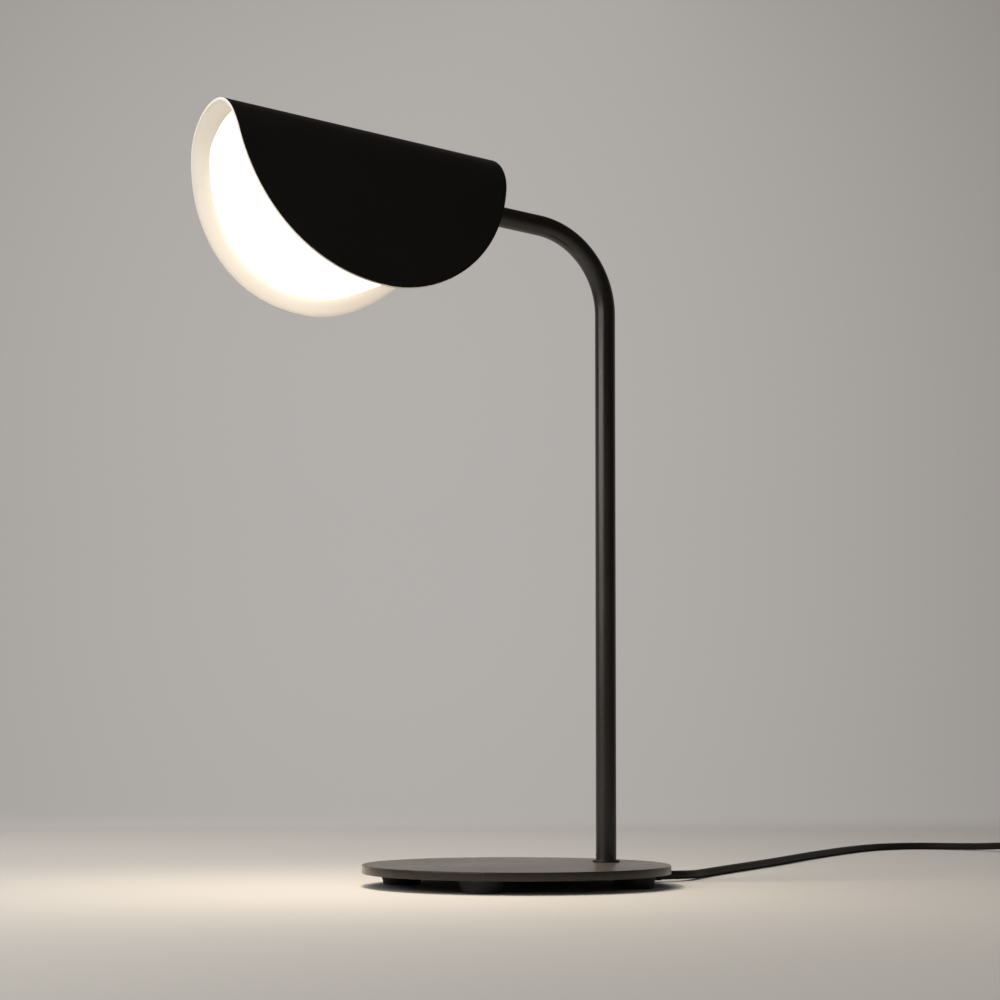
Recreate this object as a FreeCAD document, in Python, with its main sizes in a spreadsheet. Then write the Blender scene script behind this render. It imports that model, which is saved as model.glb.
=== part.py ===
# Desk lamp: a sheet shade folded over an opal diffuser, on a bent stem and a round base plate.
# Lengths are millimetres and angles degrees. +X points to the back of the lamp, +Z up, and the
# floor is Z = 0. The origin lies under the middle of the lamp's box, without its cord.
import FreeCAD, Part
import math
import os
import Sketcher
from FreeCAD import Placement, Rotation, Vector

sizes = {
    # base plate, its feet and what bolts the stem to it
    "base_diameter": 200,
    "base_thickness": 5.5,
    "base_rounding": 1.2,
    "foot_height": 8.5,
    "foot_top_diameter": 29,
    "foot_bottom_diameter": 24,
    "foot_circle_radius": 78,
    "foot_angle": 45,
    "foot_recess_diameter": 7,
    "foot_recess_depth": 4,
    "small_screw_diameter": 3,
    "small_screw_head": 5.6,
    "small_screw_head_height": 1.8,
    "small_screw_grip": 3,
    "nut_recess_diameter": 26,
    "nut_recess_depth": 3,
    "washer_diameter": 22,
    "washer_thickness": 0.8,
    "nut_across_flats": 16,
    "nut_thickness": 3.2,
    # stem
    "stem_offset": 67.5,
    "stem_diameter": 13.5,
    "stem_wall": 1.25,
    "stem_rise": 362.4,
    "bend_radius": 56.8,
    "arm_tilt": 5.8,
    "arm_reach": 133.2,
    "arm_end": 45,
    "collar_diameter": 18,
    "collar_thickness": 1.6,
    "nipple_diameter": 10,
    "nipple_bore": 6.4,
    "nipple_grip": 14,
    "nipple_end": 7.2,
    # folded shade
    "shade_front": 103.2,
    "shade_rear": 88.1,
    "shade_depth": 110.7,
    "shade_sheet": 2,
    "fold_radius": 42.5,
    "fold_splay": 20,
    "flank_radius": 760,
    "ridge_lift": 34.4,
    "front_depth_fullness": 2.02,
    "rear_depth_fullness": 2.33,
    "front_fullness": 2.17,
    "rear_fullness": 1.81,
    # diffuser
    "diffuser_gap": 3,
    "diffuser_inset": 10.5,
    "diffuser_wall": 2.2,
    "diffuser_front": 90.5,
    "diffuser_rear": 70,
    "diffuser_end_band": 12,
    "diffuser_top_level": 12,
    "arm_slot_width": 17,
    # swivel between the arm and the head
    "swivel_diameter": 9.8,
    "flange_diameter": 21,
    "flange_thickness": 2.5,
    "friction_diameter": 13.4,
    "friction_thickness": 0.8,
    "spring_thickness": 1.2,
    "swivel_nut_thickness": 4,
    "swivel_nut_across": 13,
    "thread_stand_out": 2.5,
    "stop_pin_diameter": 2.4,
    "stop_pin_circle": 8.4,
    "stop_pin_reach": 3,
    "stop_slot_width": 3,
    "stop_margin": 10.5,
    "swivel_travel": 90,
    "swivel_bore": 6,
    "swivel_grip": 18,
    # light engine
    "carrier_width": 30,
    "carrier_top": 16,
    "carrier_lip_level": -8,
    "carrier_wall": 2,
    "carrier_lip_width": 6,
    "carrier_front": 62,
    "end_plate_drop": 13,
    "end_plate_face": 41.7,
    "board_width": 34,
    "board_length": 96,
    "board_thickness": 1.6,
    "board_middle": -11,
    "board_screw_inset": 6,
    "board_screw_row": 22,
    "chip_size": 3.2,
    "chip_height": 0.7,
    "chip_end_inset": 10.5,
    "chip_row_spacing": 18,
    "driver_length": 46,
    "driver_width": 22,
    "driver_height": 12,
    "driver_middle": -8,
    "driver_screw_spacing": 32,
    "lead_level": 5,
    "shade_post_diameter": 8,
    "shade_post_front": 38,
    "shade_post_rear": 22,
    "shade_screw_diameter": 4,
    "shade_screw_head": 7,
    "shade_screw_grip": 9,
    "spring_clip_width": 12,
    "spring_clip_sheet": 1,
    "spring_clip_front": 50,
    "spring_clip_rear": 34,
    "clip_slot_top": 8.2,
    "clip_slot_height": 2.8,
    "clip_shoulder": 19,
    "rivet_head_height": 1,
    "grommet_lip": 1.5,
    "grommet_diameter": 22,
    # fits
    "running_clearance": 0.05,
    "seat_clearance": 0.1,
    "assembly_clearance": 0.3,
    # cord, strain relief and clamp
    "cord_diameter": 5.8,
    "wire_diameter": 2.2,
    "wire_spacing": 2.6,
    "wire_bend": 3.2,
    "relief_level": 4.3,
    "relief_diameter": 7.8,
    "relief_tip_diameter": 6.6,
    "relief_neck_diameter": 5.2,
    "relief_start": 80,
    "relief_length": 30,
    "relief_shoulder": 1.5,
    "clamp_width": 5.4,
    "clamp_sheet": 1.2,
    "clamp_span": 24,
    "clamp_screw_spacing": 16,
    # put-away coil
    "coil_turns": 2,
    "coil_radius": 38.4,
    "coil_pitch": 6.4,
    "coil_x": 647.4,
    "coil_y": 68,
    "tie_sheet": 1.2,
    "tie_width": 9,
    # in-line switch
    "switch_length": 66,
    "switch_width": 24,
    "switch_height": 13,
    "switch_corner": 7,
    "switch_wall": 1.8,
    "switch_cavity": 42,
    "switch_screw_spacing": 53,
    "switch_x": 605,
    "switch_y": 155,
    "rocker_reach": 9,
    "rocker_width": 10,
    "rocker_window": 19.8,
    "rocker_pivot_level": 9.4,
    "rocker_pivot_diameter": 2.4,
    "rocker_ear": 1.5,
    "rocker_underside": 1.2,
    "rocker_middle": 2.9,
    "rocker_end": 4,
    "rocker_tilt": 7,
    "contact_length": 5,
    "contact_width": 4,
    "contact_height": 4,
    # plug
    "plug_width": 35.3,
    "plug_thickness": 13.7,
    "plug_depth": 36,
    "plug_relief_length": 24,
    "plug_relief_diameter": 10,
    "plug_relief_tip": 7.4,
    "pin_diameter": 4,
    "pin_length": 19,
    "pin_spacing": 19,
    "plug_neck": 12,
    "plug_shoulder": 20,
    "plug_x": 679,
    "plug_y": 164,
}


class Size:
    # A number together with the sheet formula that gives it.
    def __init__(self, value, formula):
        self.value = value
        self.formula = formula

    def __add__(self, other):
        other = as_size(other)
        return Size(self.value + other.value, f"({self.formula} + {other.formula})")

    def __sub__(self, other):
        other = as_size(other)
        return Size(self.value - other.value, f"({self.formula} - {other.formula})")

    def __mul__(self, other):
        other = as_size(other)
        return Size(self.value * other.value, f"({self.formula} * {other.formula})")

    def __truediv__(self, other):
        other = as_size(other)
        return Size(self.value / other.value, f"({self.formula} / {other.formula})")

    def __neg__(self):
        return Size(-self.value, f"(0 - {self.formula})")


def as_size(number):
    if isinstance(number, Size):
        return number
    return Size(float(number), f"({number})")


def sine(angle):
    return Size(math.sin(math.radians(angle.value)), f"sin({angle.formula} * 1 deg)")


def cosine(angle):
    return Size(math.cos(math.radians(angle.value)), f"cos({angle.formula} * 1 deg)")


def root(size):
    return Size(math.sqrt(size.value), f"sqrt({size.formula})")


class Sheet:
    # Puts the driving sizes into the document's spreadsheet and hands each out as a Size.
    def __init__(self, document, values):
        sheet = document.addObject("Spreadsheet::Sheet", "sizes")
        for row, (name, value) in enumerate(values.items(), start=1):
            sheet.set(f"A{row}", name)
            sheet.set(f"B{row}", str(value))
            sheet.setAlias(f"B{row}", name)
            setattr(self, name, Size(float(value), f"sizes.{name}"))


doc = FreeCAD.newDocument("desk_lamp")
s = Sheet(doc, sizes)
doc.recompute()
pieces = []

# Levels and places that several pieces share, measured from the base plate's centre.
plate_top = s.foot_height + s.base_thickness
nut_seat = s.foot_height + s.nut_recess_depth
bend_start = plate_top + s.collar_thickness + s.stem_rise
elbow_x = s.stem_offset - s.bend_radius + s.bend_radius * sine(s.arm_tilt)
elbow_z = bend_start + s.bend_radius * cosine(s.arm_tilt)
head_x = elbow_x - s.arm_reach * cosine(s.arm_tilt)
head_z = elbow_z + s.arm_reach * sine(s.arm_tilt)
tip_x = head_x - s.shade_front * cosine(s.arm_tilt) + s.ridge_lift * sine(s.arm_tilt)
base_x = -(tip_x + s.base_diameter / 2) / 2
none = as_size(0)


def bind(thing, **properties):
    # Ties properties of an object to sheet formulas.
    for name, size in properties.items():
        thing.setExpression(name, as_size(size).formula)


def settle(thing, x=none, y=none, z=none, head=False, turn=0.0):
    # Places a sub-part: in the base's frame, or in the head's, whose X runs along the arm.
    x, y, z = as_size(x), as_size(y), as_size(z)
    if head:
        along, across = cosine(s.arm_tilt), sine(s.arm_tilt)
        x, z = head_x + x * along + z * across, head_z - x * across + z * along
        thing.Placement = Placement(Vector(), Rotation(Vector(0, 1, 0), s.arm_tilt.value))
        thing.setExpression("Placement.Rotation.Angle", s.arm_tilt.formula)
    else:
        thing.Placement = Placement(Vector(), Rotation(Vector(0, 0, 1), turn))
    thing.setExpression("Placement.Base.x", (base_x + x).formula)
    thing.setExpression("Placement.Base.y", y.formula)
    thing.setExpression("Placement.Base.z", z.formula)
    return thing


def keep(thing, label):
    # Marks an object as one of the lamp's pieces.
    thing.Label = label
    pieces.append(thing)
    return thing


# ---- sketches ----

def plane_of(body, role):
    return [f for f in body.Origin.OriginFeatures if f.Role == role][0]


def sketch_on(body, name, role, offset=none):
    sketch = body.newObject("Sketcher::SketchObject", name)
    sketch.AttachmentSupport = [(plane_of(body, role), "")]
    sketch.MapMode = "FlatFace"
    sketch.setExpression("AttachmentOffset.Base.z", as_size(offset).formula)
    return sketch


def hold(sketch, geometry, point, spot):
    # Holds a point of a sketch at its two sheet coordinates.
    for kind, axis, size in (("DistanceX", -2, spot[0]), ("DistanceY", -1, spot[1])):
        size = as_size(size)
        if abs(size.value) < 1e-9:
            sketch.addConstraint(Sketcher.Constraint("PointOnObject", geometry, point, axis))
            continue
        if size.value > 0:
            rule = Sketcher.Constraint(kind, -1, 1, geometry, point, size.value)
        else:
            rule = Sketcher.Constraint(kind, geometry, point, -1, 1, -size.value)
            size = -size
        index = sketch.addConstraint(rule)
        name = f"{kind[-1].lower()}{geometry}_{point}"
        sketch.renameConstraint(index, name)
        sketch.setExpression(f"Constraints.{name}", size.formula)


def vector(spot):
    return Vector(as_size(spot[0]).value, as_size(spot[1]).value, 0)


def polygon(sketch, spots):
    first = sketch.GeometryCount
    count = len(spots)
    for i in range(count):
        sketch.addGeometry(Part.LineSegment(vector(spots[i]), vector(spots[(i + 1) % count])))
    for i in range(count):
        after = first + (i + 1) % count
        sketch.addConstraint(Sketcher.Constraint("Coincident", first + i, 2, after, 1))
        hold(sketch, first + i, 1, spots[i])


def rectangle(sketch, left, right, low, high):
    polygon(sketch, [(left, low), (right, low), (right, high), (left, high)])


def circle(sketch, spot, diameter):
    diameter = as_size(diameter)
    index = sketch.addGeometry(Part.Circle(vector(spot), Vector(0, 0, 1), diameter.value / 2))
    hold(sketch, index, 3, spot)
    rule = sketch.addConstraint(Sketcher.Constraint("Diameter", index, diameter.value))
    sketch.renameConstraint(rule, f"d{index}")
    sketch.setExpression(f"Constraints.d{index}", diameter.formula)


def mirrored_spots(spots):
    # The spots and their images on the other side of the sketch's upright axis.
    return spots + [(-x, y) for x, y in reversed(spots)]


# ---- features ----

def new_body(label):
    return doc.addObject("PartDesign::Body", label)


def pad(body, sketch, length, midplane=False, reversed_=False):
    feature = body.newObject("PartDesign::Pad", f"{sketch.Name}_pad")
    feature.Profile = sketch
    feature.Midplane = midplane
    feature.Reversed = reversed_
    feature.setExpression("Length", as_size(length).formula)
    sketch.Visibility = False
    doc.recompute()
    return feature


def pocket(body, sketch, depth=None, midplane=False, reversed_=False):
    # Cuts a sketch out of its body and makes sure that something was taken away.
    before = body.Shape.Volume
    feature = body.newObject("PartDesign::Pocket", f"{sketch.Name}_pocket")
    feature.Profile = sketch
    feature.Midplane = midplane
    feature.Reversed = reversed_
    if depth is None:
        feature.Type = 1
    else:
        feature.setExpression("Length", as_size(depth).formula)
    doc.recompute()
    if body.Shape.Volume > before - 1e-3:
        raise RuntimeError(f"{feature.Name} cuts nothing")
    return feature


def revolve(body, sketch, axis):
    feature = body.newObject("PartDesign::Revolution", f"{sketch.Name}_turn")
    feature.Profile = sketch
    feature.ReferenceAxis = (sketch, [axis])
    feature.Angle = 360
    doc.recompute()
    return feature


def turned(label, spots, axis="V_Axis"):
    # A body turned about Z from (radius, height) spots, or about X from (place, radius) spots.
    body = new_body(label)
    sketch = sketch_on(body, f"{label}_profile", "XZ_Plane")
    polygon(sketch, spots)
    revolve(body, sketch, axis)
    return body


def edges_at(feature, test):
    # Names of a feature's edges whose middle point passes the test.
    names = []
    for number, edge in enumerate(feature.Shape.Edges, start=1):
        middle = edge.valueAt((edge.FirstParameter + edge.LastParameter) / 2)
        if test(middle, edge):
            names.append(f"Edge{number}")
    if not names:
        raise RuntimeError(f"no edge of {feature.Name} was found")
    return names


def round_edges(body, test, radius, kind="Fillet"):
    base = body.Tip
    feature = body.newObject(f"PartDesign::{kind}", f"{body.Name}_{kind.lower()}")
    feature.Base = (base, edges_at(base, test))
    feature.setExpression("Radius" if kind == "Fillet" else "Size", as_size(radius).formula)
    doc.recompute()
    return feature


def group(label, members):
    # Identical fasteners share one piece of separate solids.
    together = doc.addObject("Part::Compound", label)
    together.Links = members
    return keep(together, label)


def near(a, b):
    return abs(a - b) < 1e-4


# ---- plain solids for booleans ----

def box(x, y, z, length, width, height):
    solid = doc.addObject("Part::Box", "box")
    bind(solid, Length=length, Width=width, Height=height)
    for axis, size in zip("xyz", (x, y, z)):
        solid.setExpression(f"Placement.Base.{axis}", as_size(size).formula)
    return solid


def cylinder(x, y, z, diameter, height, along="z"):
    solid = doc.addObject("Part::Cylinder", "cylinder")
    bind(solid, Radius=as_size(diameter) / 2, Height=height)
    if along == "x":
        solid.Placement = Placement(Vector(), Rotation(Vector(0, 1, 0), 90))
    for axis, size in zip("xyz", (x, y, z)):
        solid.setExpression(f"Placement.Base.{axis}", as_size(size).formula)
    return solid


def cut(label, base, tools):
    feature = doc.addObject("Part::Cut", label)
    feature.Base = base
    if len(tools) > 1:
        united = doc.addObject("Part::MultiFuse", f"{label}_tools")
        united.Shapes = tools
        tools = [united]
    feature.Tool = tools[0]
    doc.recompute()
    if feature.Shape.Volume > base.Shape.Volume - 1e-3:
        raise RuntimeError(f"{label} cuts nothing")
    return feature


def common(label, shapes):
    feature = doc.addObject("Part::MultiCommon", label)
    feature.Shapes = shapes
    doc.recompute()
    return feature


# ---- round runs: cords and wires ----

def arc_between(start, tangent, end):
    # The arc that leaves start along the tangent and reaches end.
    chord = end - start
    normal = chord - tangent * chord.dot(tangent)
    if normal.Length < 1e-7:
        return Part.LineSegment(start, end)
    normal.normalize()
    radius = chord.dot(chord) / (2 * chord.dot(normal))
    centre = start + normal * radius
    middle = (start + end) / 2 - centre
    middle.normalize()
    return Part.Arc(start, centre + middle * radius, end)


def rounded_path(points, radii=None):
    # Straight runs joined by tangent arcs; returns the curves and the least radius used.
    corners = [Vector(*point) for point in points]
    curves = []
    used = []
    at = corners[0]
    for i in range(1, len(corners) - 1):
        before = corners[i] - corners[i - 1]
        after = corners[i + 1] - corners[i]
        half_turn = before.getAngle(after) / 2
        reach = 0.45 * min(before.Length, after.Length)
        if radii:
            reach = radii[i - 1] * math.tan(half_turn)
        used.append(reach / math.tan(half_turn))
        before.normalize()
        after.normalize()
        curves.append(Part.LineSegment(at, corners[i] - before * reach))
        at = corners[i] + after * reach
        curves.append(arc_between(corners[i] - before * reach, before, at))
    curves.append(Part.LineSegment(at, corners[-1]))
    return curves, min(used)


def sweep(curves, diameter):
    # A round tube along the curves, checked against section times length.
    wire = Part.Wire([curve.toShape() for curve in curves])
    first = curves[0]
    tangent = first.tangent(first.FirstParameter)[0]
    start = first.value(first.FirstParameter)
    ring = Part.Wire(Part.Circle(start, tangent, diameter / 2).toShape())
    solid = wire.makePipeShell([ring], True, False)
    expected = math.pi * diameter ** 2 / 4 * wire.Length
    if not solid.isValid() or abs(solid.Volume / expected - 1) > 0.01:
        raise RuntimeError(f"tube of {wire.Length:.0f} mm is wrong: {solid.Volume / expected:.4f}")
    return solid, wire.Length


def run(label, points, diameter, radii=None):
    # A cord stretch as its own piece.
    curves, least = rounded_path(points, radii)
    solid, length = sweep(curves, diameter)
    piece = doc.addObject("Part::Feature", label)
    piece.Shape = solid
    print(f"{label}: {length:.1f} mm long, least bend radius {least:.1f} mm")
    return keep(piece, label)


def pair(label, points, spacing, diameter, radii=None):
    # Two wires side by side, each at half the spacing from the middle.
    solids = []
    for side in (-1, 1):
        moved = [(x, y + side * spacing / 2, z) for x, y, z in points]
        solids.append(sweep(rounded_path(moved, radii)[0], diameter)[0])
    piece = doc.addObject("Part::Feature", label)
    piece.Shape = Part.makeCompound(solids)
    return keep(piece, label)


# ---- fasteners ----

def screw(label, diameter, head, head_height, length, x, y, z, head_up=True, head_frame=False):
    # Its head's underside is at z; the shank points away from the head.
    way = 1 if head_up else -1
    thread = as_size(diameter) / 2
    body = turned(label, [
        (none, as_size(length) * -way),
        (thread, as_size(length) * -way),
        (thread, none),
        (as_size(head) / 2, none),
        (as_size(head) / 2, as_size(head_height) * way),
        (none, as_size(head_height) * way)])
    return settle(body, x, y, z, head=head_frame)


# ---- base plate, feet and what bolts the stem on ----

foot_spots = {
    "front_left": (-1, -1),
    "front_right": (-1, 1),
    "rear_left": (1, -1),
    "rear_right": (1, 1),
}
foot_x = s.foot_circle_radius * cosine(s.foot_angle)
foot_y = s.foot_circle_radius * sine(s.foot_angle)
pilot = s.small_screw_diameter + s.running_clearance * 2
clamp_x = s.relief_start + s.relief_shoulder + s.assembly_clearance + s.clamp_width / 2


def base_plate():
    body = new_body("base_plate")
    outline = sketch_on(body, "plate_outline", "XY_Plane", s.foot_height)
    circle(outline, (none, none), s.base_diameter)
    pad(body, outline, s.base_thickness)
    edge = s.base_diameter.value / 2
    round_edges(body, lambda m, e: near(math.hypot(m.x, m.y), edge), s.base_rounding)
    hole = sketch_on(body, "nipple_hole", "XY_Plane", plate_top)
    circle(hole, (s.stem_offset, none), s.nipple_diameter + s.seat_clearance * 2)
    pocket(body, hole)
    recess = sketch_on(body, "nut_recess", "XY_Plane", nut_seat)
    circle(recess, (s.stem_offset, none), s.nut_recess_diameter)
    pocket(body, recess)
    holes = sketch_on(body, "screw_holes", "XY_Plane", s.foot_height + s.small_screw_grip)
    for along, across in foot_spots.values():
        circle(holes, (foot_x * along, foot_y * across), pilot)
    for side in (-1, 1):
        circle(holes, (clamp_x, s.clamp_screw_spacing / 2 * side), pilot)
    pocket(body, holes)
    keep(settle(body), "base_plate")


def foot(name, along, across):
    body = turned(f"foot_{name}", [
        (pilot / 2, s.foot_recess_depth),
        (s.foot_recess_diameter / 2, s.foot_recess_depth),
        (s.foot_recess_diameter / 2, none),
        (s.foot_bottom_diameter / 2, none),
        (s.foot_top_diameter / 2, s.foot_height),
        (pilot / 2, s.foot_height)])
    keep(settle(body, foot_x * along, foot_y * across), f"foot_{name}")


def build_feet():
    screws = []
    shank = s.foot_height - s.foot_recess_depth + s.small_screw_grip
    for name, (along, across) in foot_spots.items():
        foot(name, along, across)
        screws.append(screw(
            f"foot_screw_{name}", s.small_screw_diameter, s.small_screw_head,
            s.small_screw_head_height, shank, foot_x * along, foot_y * across,
            s.foot_recess_depth, head_up=False))
    group("foot_screws", screws)


def build_stem():
    foot_level = plate_top + s.collar_thickness
    body = new_body("stem_tube")
    ring = sketch_on(body, "stem_section", "XY_Plane", foot_level)
    circle(ring, (none, none), s.stem_diameter)
    circle(ring, (none, none), s.stem_diameter - s.stem_wall * 2)
    path = sketch_on(body, "stem_path", "XZ_Plane")
    turn = 90 - s.arm_tilt.value
    bend_x = elbow_x - s.stem_offset
    straight = s.arm_reach - s.arm_end
    end_x = bend_x - straight * cosine(s.arm_tilt)
    end_z = elbow_z + straight * sine(s.arm_tilt)
    centre = Vector(-s.bend_radius.value, bend_start.value, 0)
    bow = Part.Circle(centre, Vector(0, 0, 1), s.bend_radius.value)
    path.addGeometry(Part.LineSegment(vector((none, foot_level)), vector((none, bend_start))))
    path.addGeometry(Part.ArcOfCircle(bow, 0, math.radians(turn)))
    path.addGeometry(Part.LineSegment(vector((bend_x, elbow_z)), vector((end_x, end_z))))
    hold(path, 0, 1, (none, foot_level))
    hold(path, 0, 2, (none, bend_start))
    path.addConstraint(Sketcher.Constraint("Coincident", 0, 2, 1, 1))
    path.addConstraint(Sketcher.Constraint("Coincident", 1, 2, 2, 1))
    hold(path, 1, 2, (bend_x, elbow_z))
    rule = path.addConstraint(Sketcher.Constraint("Radius", 1, s.bend_radius.value))
    path.renameConstraint(rule, "bend")
    path.setExpression("Constraints.bend", s.bend_radius.formula)
    hold(path, 2, 2, (end_x, end_z))
    pipe = body.newObject("PartDesign::AdditivePipe", "stem_pipe")
    pipe.Profile = ring
    pipe.Spine = (path, [])
    doc.recompute()
    keep(settle(body, s.stem_offset), "stem_tube")


def build_stem_fixings():
    collar_top = plate_top + s.collar_thickness
    bore = s.nipple_diameter / 2 + s.seat_clearance
    collar = turned("stem_collar", [
        (bore, plate_top),
        (s.collar_diameter / 2, plate_top),
        (s.collar_diameter / 2, collar_top),
        (bore, collar_top)])
    round_edges(collar, lambda m, e: near(m.z, collar_top.value)
                and near(math.hypot(m.x, m.y), s.collar_diameter.value / 2),
                s.collar_thickness / 3, kind="Chamfer")
    keep(settle(collar, s.stem_offset), "stem_collar")
    inside = s.stem_diameter / 2 - s.stem_wall - s.running_clearance
    nipple = turned("stem_nipple", [
        (s.nipple_bore / 2, s.nipple_end),
        (s.nipple_diameter / 2, s.nipple_end),
        (s.nipple_diameter / 2, collar_top),
        (inside, collar_top),
        (inside, collar_top + s.nipple_grip),
        (s.nipple_bore / 2, collar_top + s.nipple_grip)])
    keep(settle(nipple, s.stem_offset), "stem_nipple")
    thread = s.nipple_diameter / 2 + s.running_clearance
    washer = turned("stem_washer", [
        (bore, nut_seat - s.washer_thickness),
        (s.washer_diameter / 2, nut_seat - s.washer_thickness),
        (s.washer_diameter / 2, nut_seat),
        (bore, nut_seat)])
    keep(settle(washer, s.stem_offset), "stem_washer")
    nut = hex_nut("stem_nut", "XY_Plane", nut_seat - s.washer_thickness - s.nut_thickness,
                  s.nut_across_flats, thread * 2, s.nut_thickness)
    keep(settle(nut, s.stem_offset), "stem_nut")


def hex_nut(label, plane, level, across, bore, thickness):
    body = new_body(label)
    outline = sketch_on(body, f"{label}_outline", plane, level)
    corner = across / 2 / cosine(as_size(30))
    spots = []
    for k in range(6):
        angle = as_size(60 * k)
        spots.append((corner * cosine(angle), corner * sine(angle)))
    polygon(outline, spots)
    circle(outline, (none, none), bore)
    pad(body, outline, thickness)
    return body


def build_cord_entry():
    start = s.relief_start
    neck = start + s.relief_shoulder
    shoulder = neck + s.clamp_width + s.assembly_clearance * 2
    relief = turned("strain_relief", [
        (start, none),
        (start, s.relief_diameter / 2),
        (neck, s.relief_diameter / 2),
        (neck, s.relief_neck_diameter / 2),
        (shoulder, s.relief_neck_diameter / 2),
        (shoulder, s.relief_diameter / 2),
        (start + s.relief_length, s.relief_tip_diameter / 2),
        (start + s.relief_length, none)], axis="H_Axis")
    keep(settle(relief, z=s.relief_level), "strain_relief")
    body = new_body("cord_clamp")
    inner = s.relief_neck_diameter / 2 + s.running_clearance
    outer = inner + s.clamp_sheet
    rise = s.foot_height - s.relief_level
    strap = sketch_on(body, "clamp_strap", "YZ_Plane", clamp_x)
    circle(strap, (none, none), outer * 2)
    pad(body, strap, s.clamp_width, midplane=True)
    legs = sketch_on(body, "clamp_legs", "YZ_Plane", clamp_x)
    rectangle(legs, -outer, outer, none, rise)
    pad(body, legs, s.clamp_width, midplane=True)
    flanges = sketch_on(body, "clamp_flanges", "YZ_Plane", clamp_x)
    rectangle(flanges, -(s.clamp_span / 2), s.clamp_span / 2, rise - s.clamp_sheet, rise)
    pad(body, flanges, s.clamp_width, midplane=True)
    saddle = sketch_on(body, "clamp_saddle", "YZ_Plane", clamp_x)
    circle(saddle, (none, none), inner * 2)
    pocket(body, saddle, s.clamp_width, midplane=True)
    throat = sketch_on(body, "clamp_throat", "YZ_Plane", clamp_x)
    rectangle(throat, -inner, inner, none, rise)
    pocket(body, throat, s.clamp_width, midplane=True)
    holes = sketch_on(body, "clamp_holes", "XY_Plane", rise)
    for side in (-1, 1):
        circle(holes, (clamp_x, s.clamp_screw_spacing / 2 * side), pilot)
    pocket(body, holes)
    keep(settle(body, z=s.relief_level), "cord_clamp")
    screws = []
    for side, name in ((-1, "left"), (1, "right")):
        screws.append(screw(
            f"clamp_screw_{name}", s.small_screw_diameter, s.small_screw_head,
            s.small_screw_head_height, s.clamp_sheet + s.small_screw_grip, clamp_x,
            s.clamp_screw_spacing / 2 * side, s.foot_height - s.clamp_sheet, head_up=False))
    group("clamp_screws", screws)
    level = s.relief_level.value
    stem_x = s.stem_offset.value
    half_turn = math.radians(90 - s.arm_tilt.value) / 2
    apex = bend_start.value + s.bend_radius.value * math.tan(half_turn)
    end = shaft_end.value + s.assembly_clearance.value
    tilt = math.radians(s.arm_tilt.value)
    points = [
        (start.value, 0, level),
        (stem_x, 0, level),
        (stem_x, 0, apex),
        (head_x.value + end * math.cos(tilt), 0, head_z.value - end * math.sin(tilt))]
    settle(pair("stem_wires", points, s.wire_spacing.value, s.wire_diameter.value,
                [s.wire_bend.value, s.bend_radius.value]))


# ---- swivel: what stays with the arm ----

plate_rear = s.end_plate_face
plate_front = plate_rear - s.carrier_wall
flange_front = plate_rear + s.friction_thickness
washer_front = plate_front - s.friction_thickness
nut_rear = washer_front - s.spring_thickness
nut_front = nut_rear - s.swivel_nut_thickness
shaft_end = nut_front - s.thread_stand_out


def ring(label, rear, thickness, bore, diameter):
    body = turned(label, [
        (rear - thickness, bore / 2),
        (rear - thickness, diameter / 2),
        (rear, diameter / 2),
        (rear, bore / 2)], axis="H_Axis")
    return keep(settle(body, head=True), label)


def build_swivel():
    flange_rear = flange_front + s.flange_thickness
    inside = s.stem_diameter / 2 - s.stem_wall - s.running_clearance
    shaft = turned("swivel_shaft", [
        (shaft_end, s.swivel_bore / 2),
        (shaft_end, s.swivel_diameter / 2),
        (flange_front, s.swivel_diameter / 2),
        (flange_front, s.flange_diameter / 2),
        (flange_rear, s.flange_diameter / 2),
        (flange_rear, inside),
        (flange_rear + s.swivel_grip, inside),
        (flange_rear + s.swivel_grip, s.swivel_bore / 2)], axis="H_Axis")
    hole = sketch_on(shaft, "stop_pin_hole", "YZ_Plane", flange_rear)
    circle(hole, (none, s.stop_pin_circle), s.stop_pin_diameter + s.running_clearance * 2)
    pocket(shaft, hole, s.flange_thickness)
    keep(settle(shaft, head=True), "swivel_shaft")
    running = s.swivel_diameter + s.running_clearance * 2
    ring("friction_washer_outer", flange_front, s.friction_thickness, running,
         s.friction_diameter)
    ring("friction_washer_inner", plate_front, s.friction_thickness, running,
         s.friction_diameter)
    ring("spring_washer", washer_front, s.spring_thickness, running, s.friction_diameter)
    nut = hex_nut("swivel_nut", "YZ_Plane", nut_front, s.swivel_nut_across, running,
                  s.swivel_nut_thickness)
    keep(settle(nut, head=True), "swivel_nut")
    pin = turned("stop_pin", [
        (flange_front - s.stop_pin_reach, none),
        (flange_front - s.stop_pin_reach, s.stop_pin_diameter / 2),
        (flange_rear, s.stop_pin_diameter / 2),
        (flange_rear, none)], axis="H_Axis")
    keep(settle(pin, none, none, s.stop_pin_circle, head=True), "stop_pin")


# ---- carrier and light engine ----

web_under = s.carrier_top - s.carrier_wall
lip_top = s.carrier_lip_level + s.carrier_wall
post_spots = (-s.shade_post_front, s.shade_post_rear)
clip_spots = {"front": -s.spring_clip_front, "rear": s.spring_clip_rear}
driver_screw_spots = [s.driver_middle + s.driver_screw_spacing / 2 * way for way in (-1, 1)]
rivet_hole = s.small_screw_diameter + s.running_clearance * 2


def board_screw_spots():
    reach = s.board_length / 2 - s.board_screw_inset
    return [(s.board_middle + reach * along, s.board_screw_row / 2 * across)
            for along in (-1, 1) for across in (-1, 1)]


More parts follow.
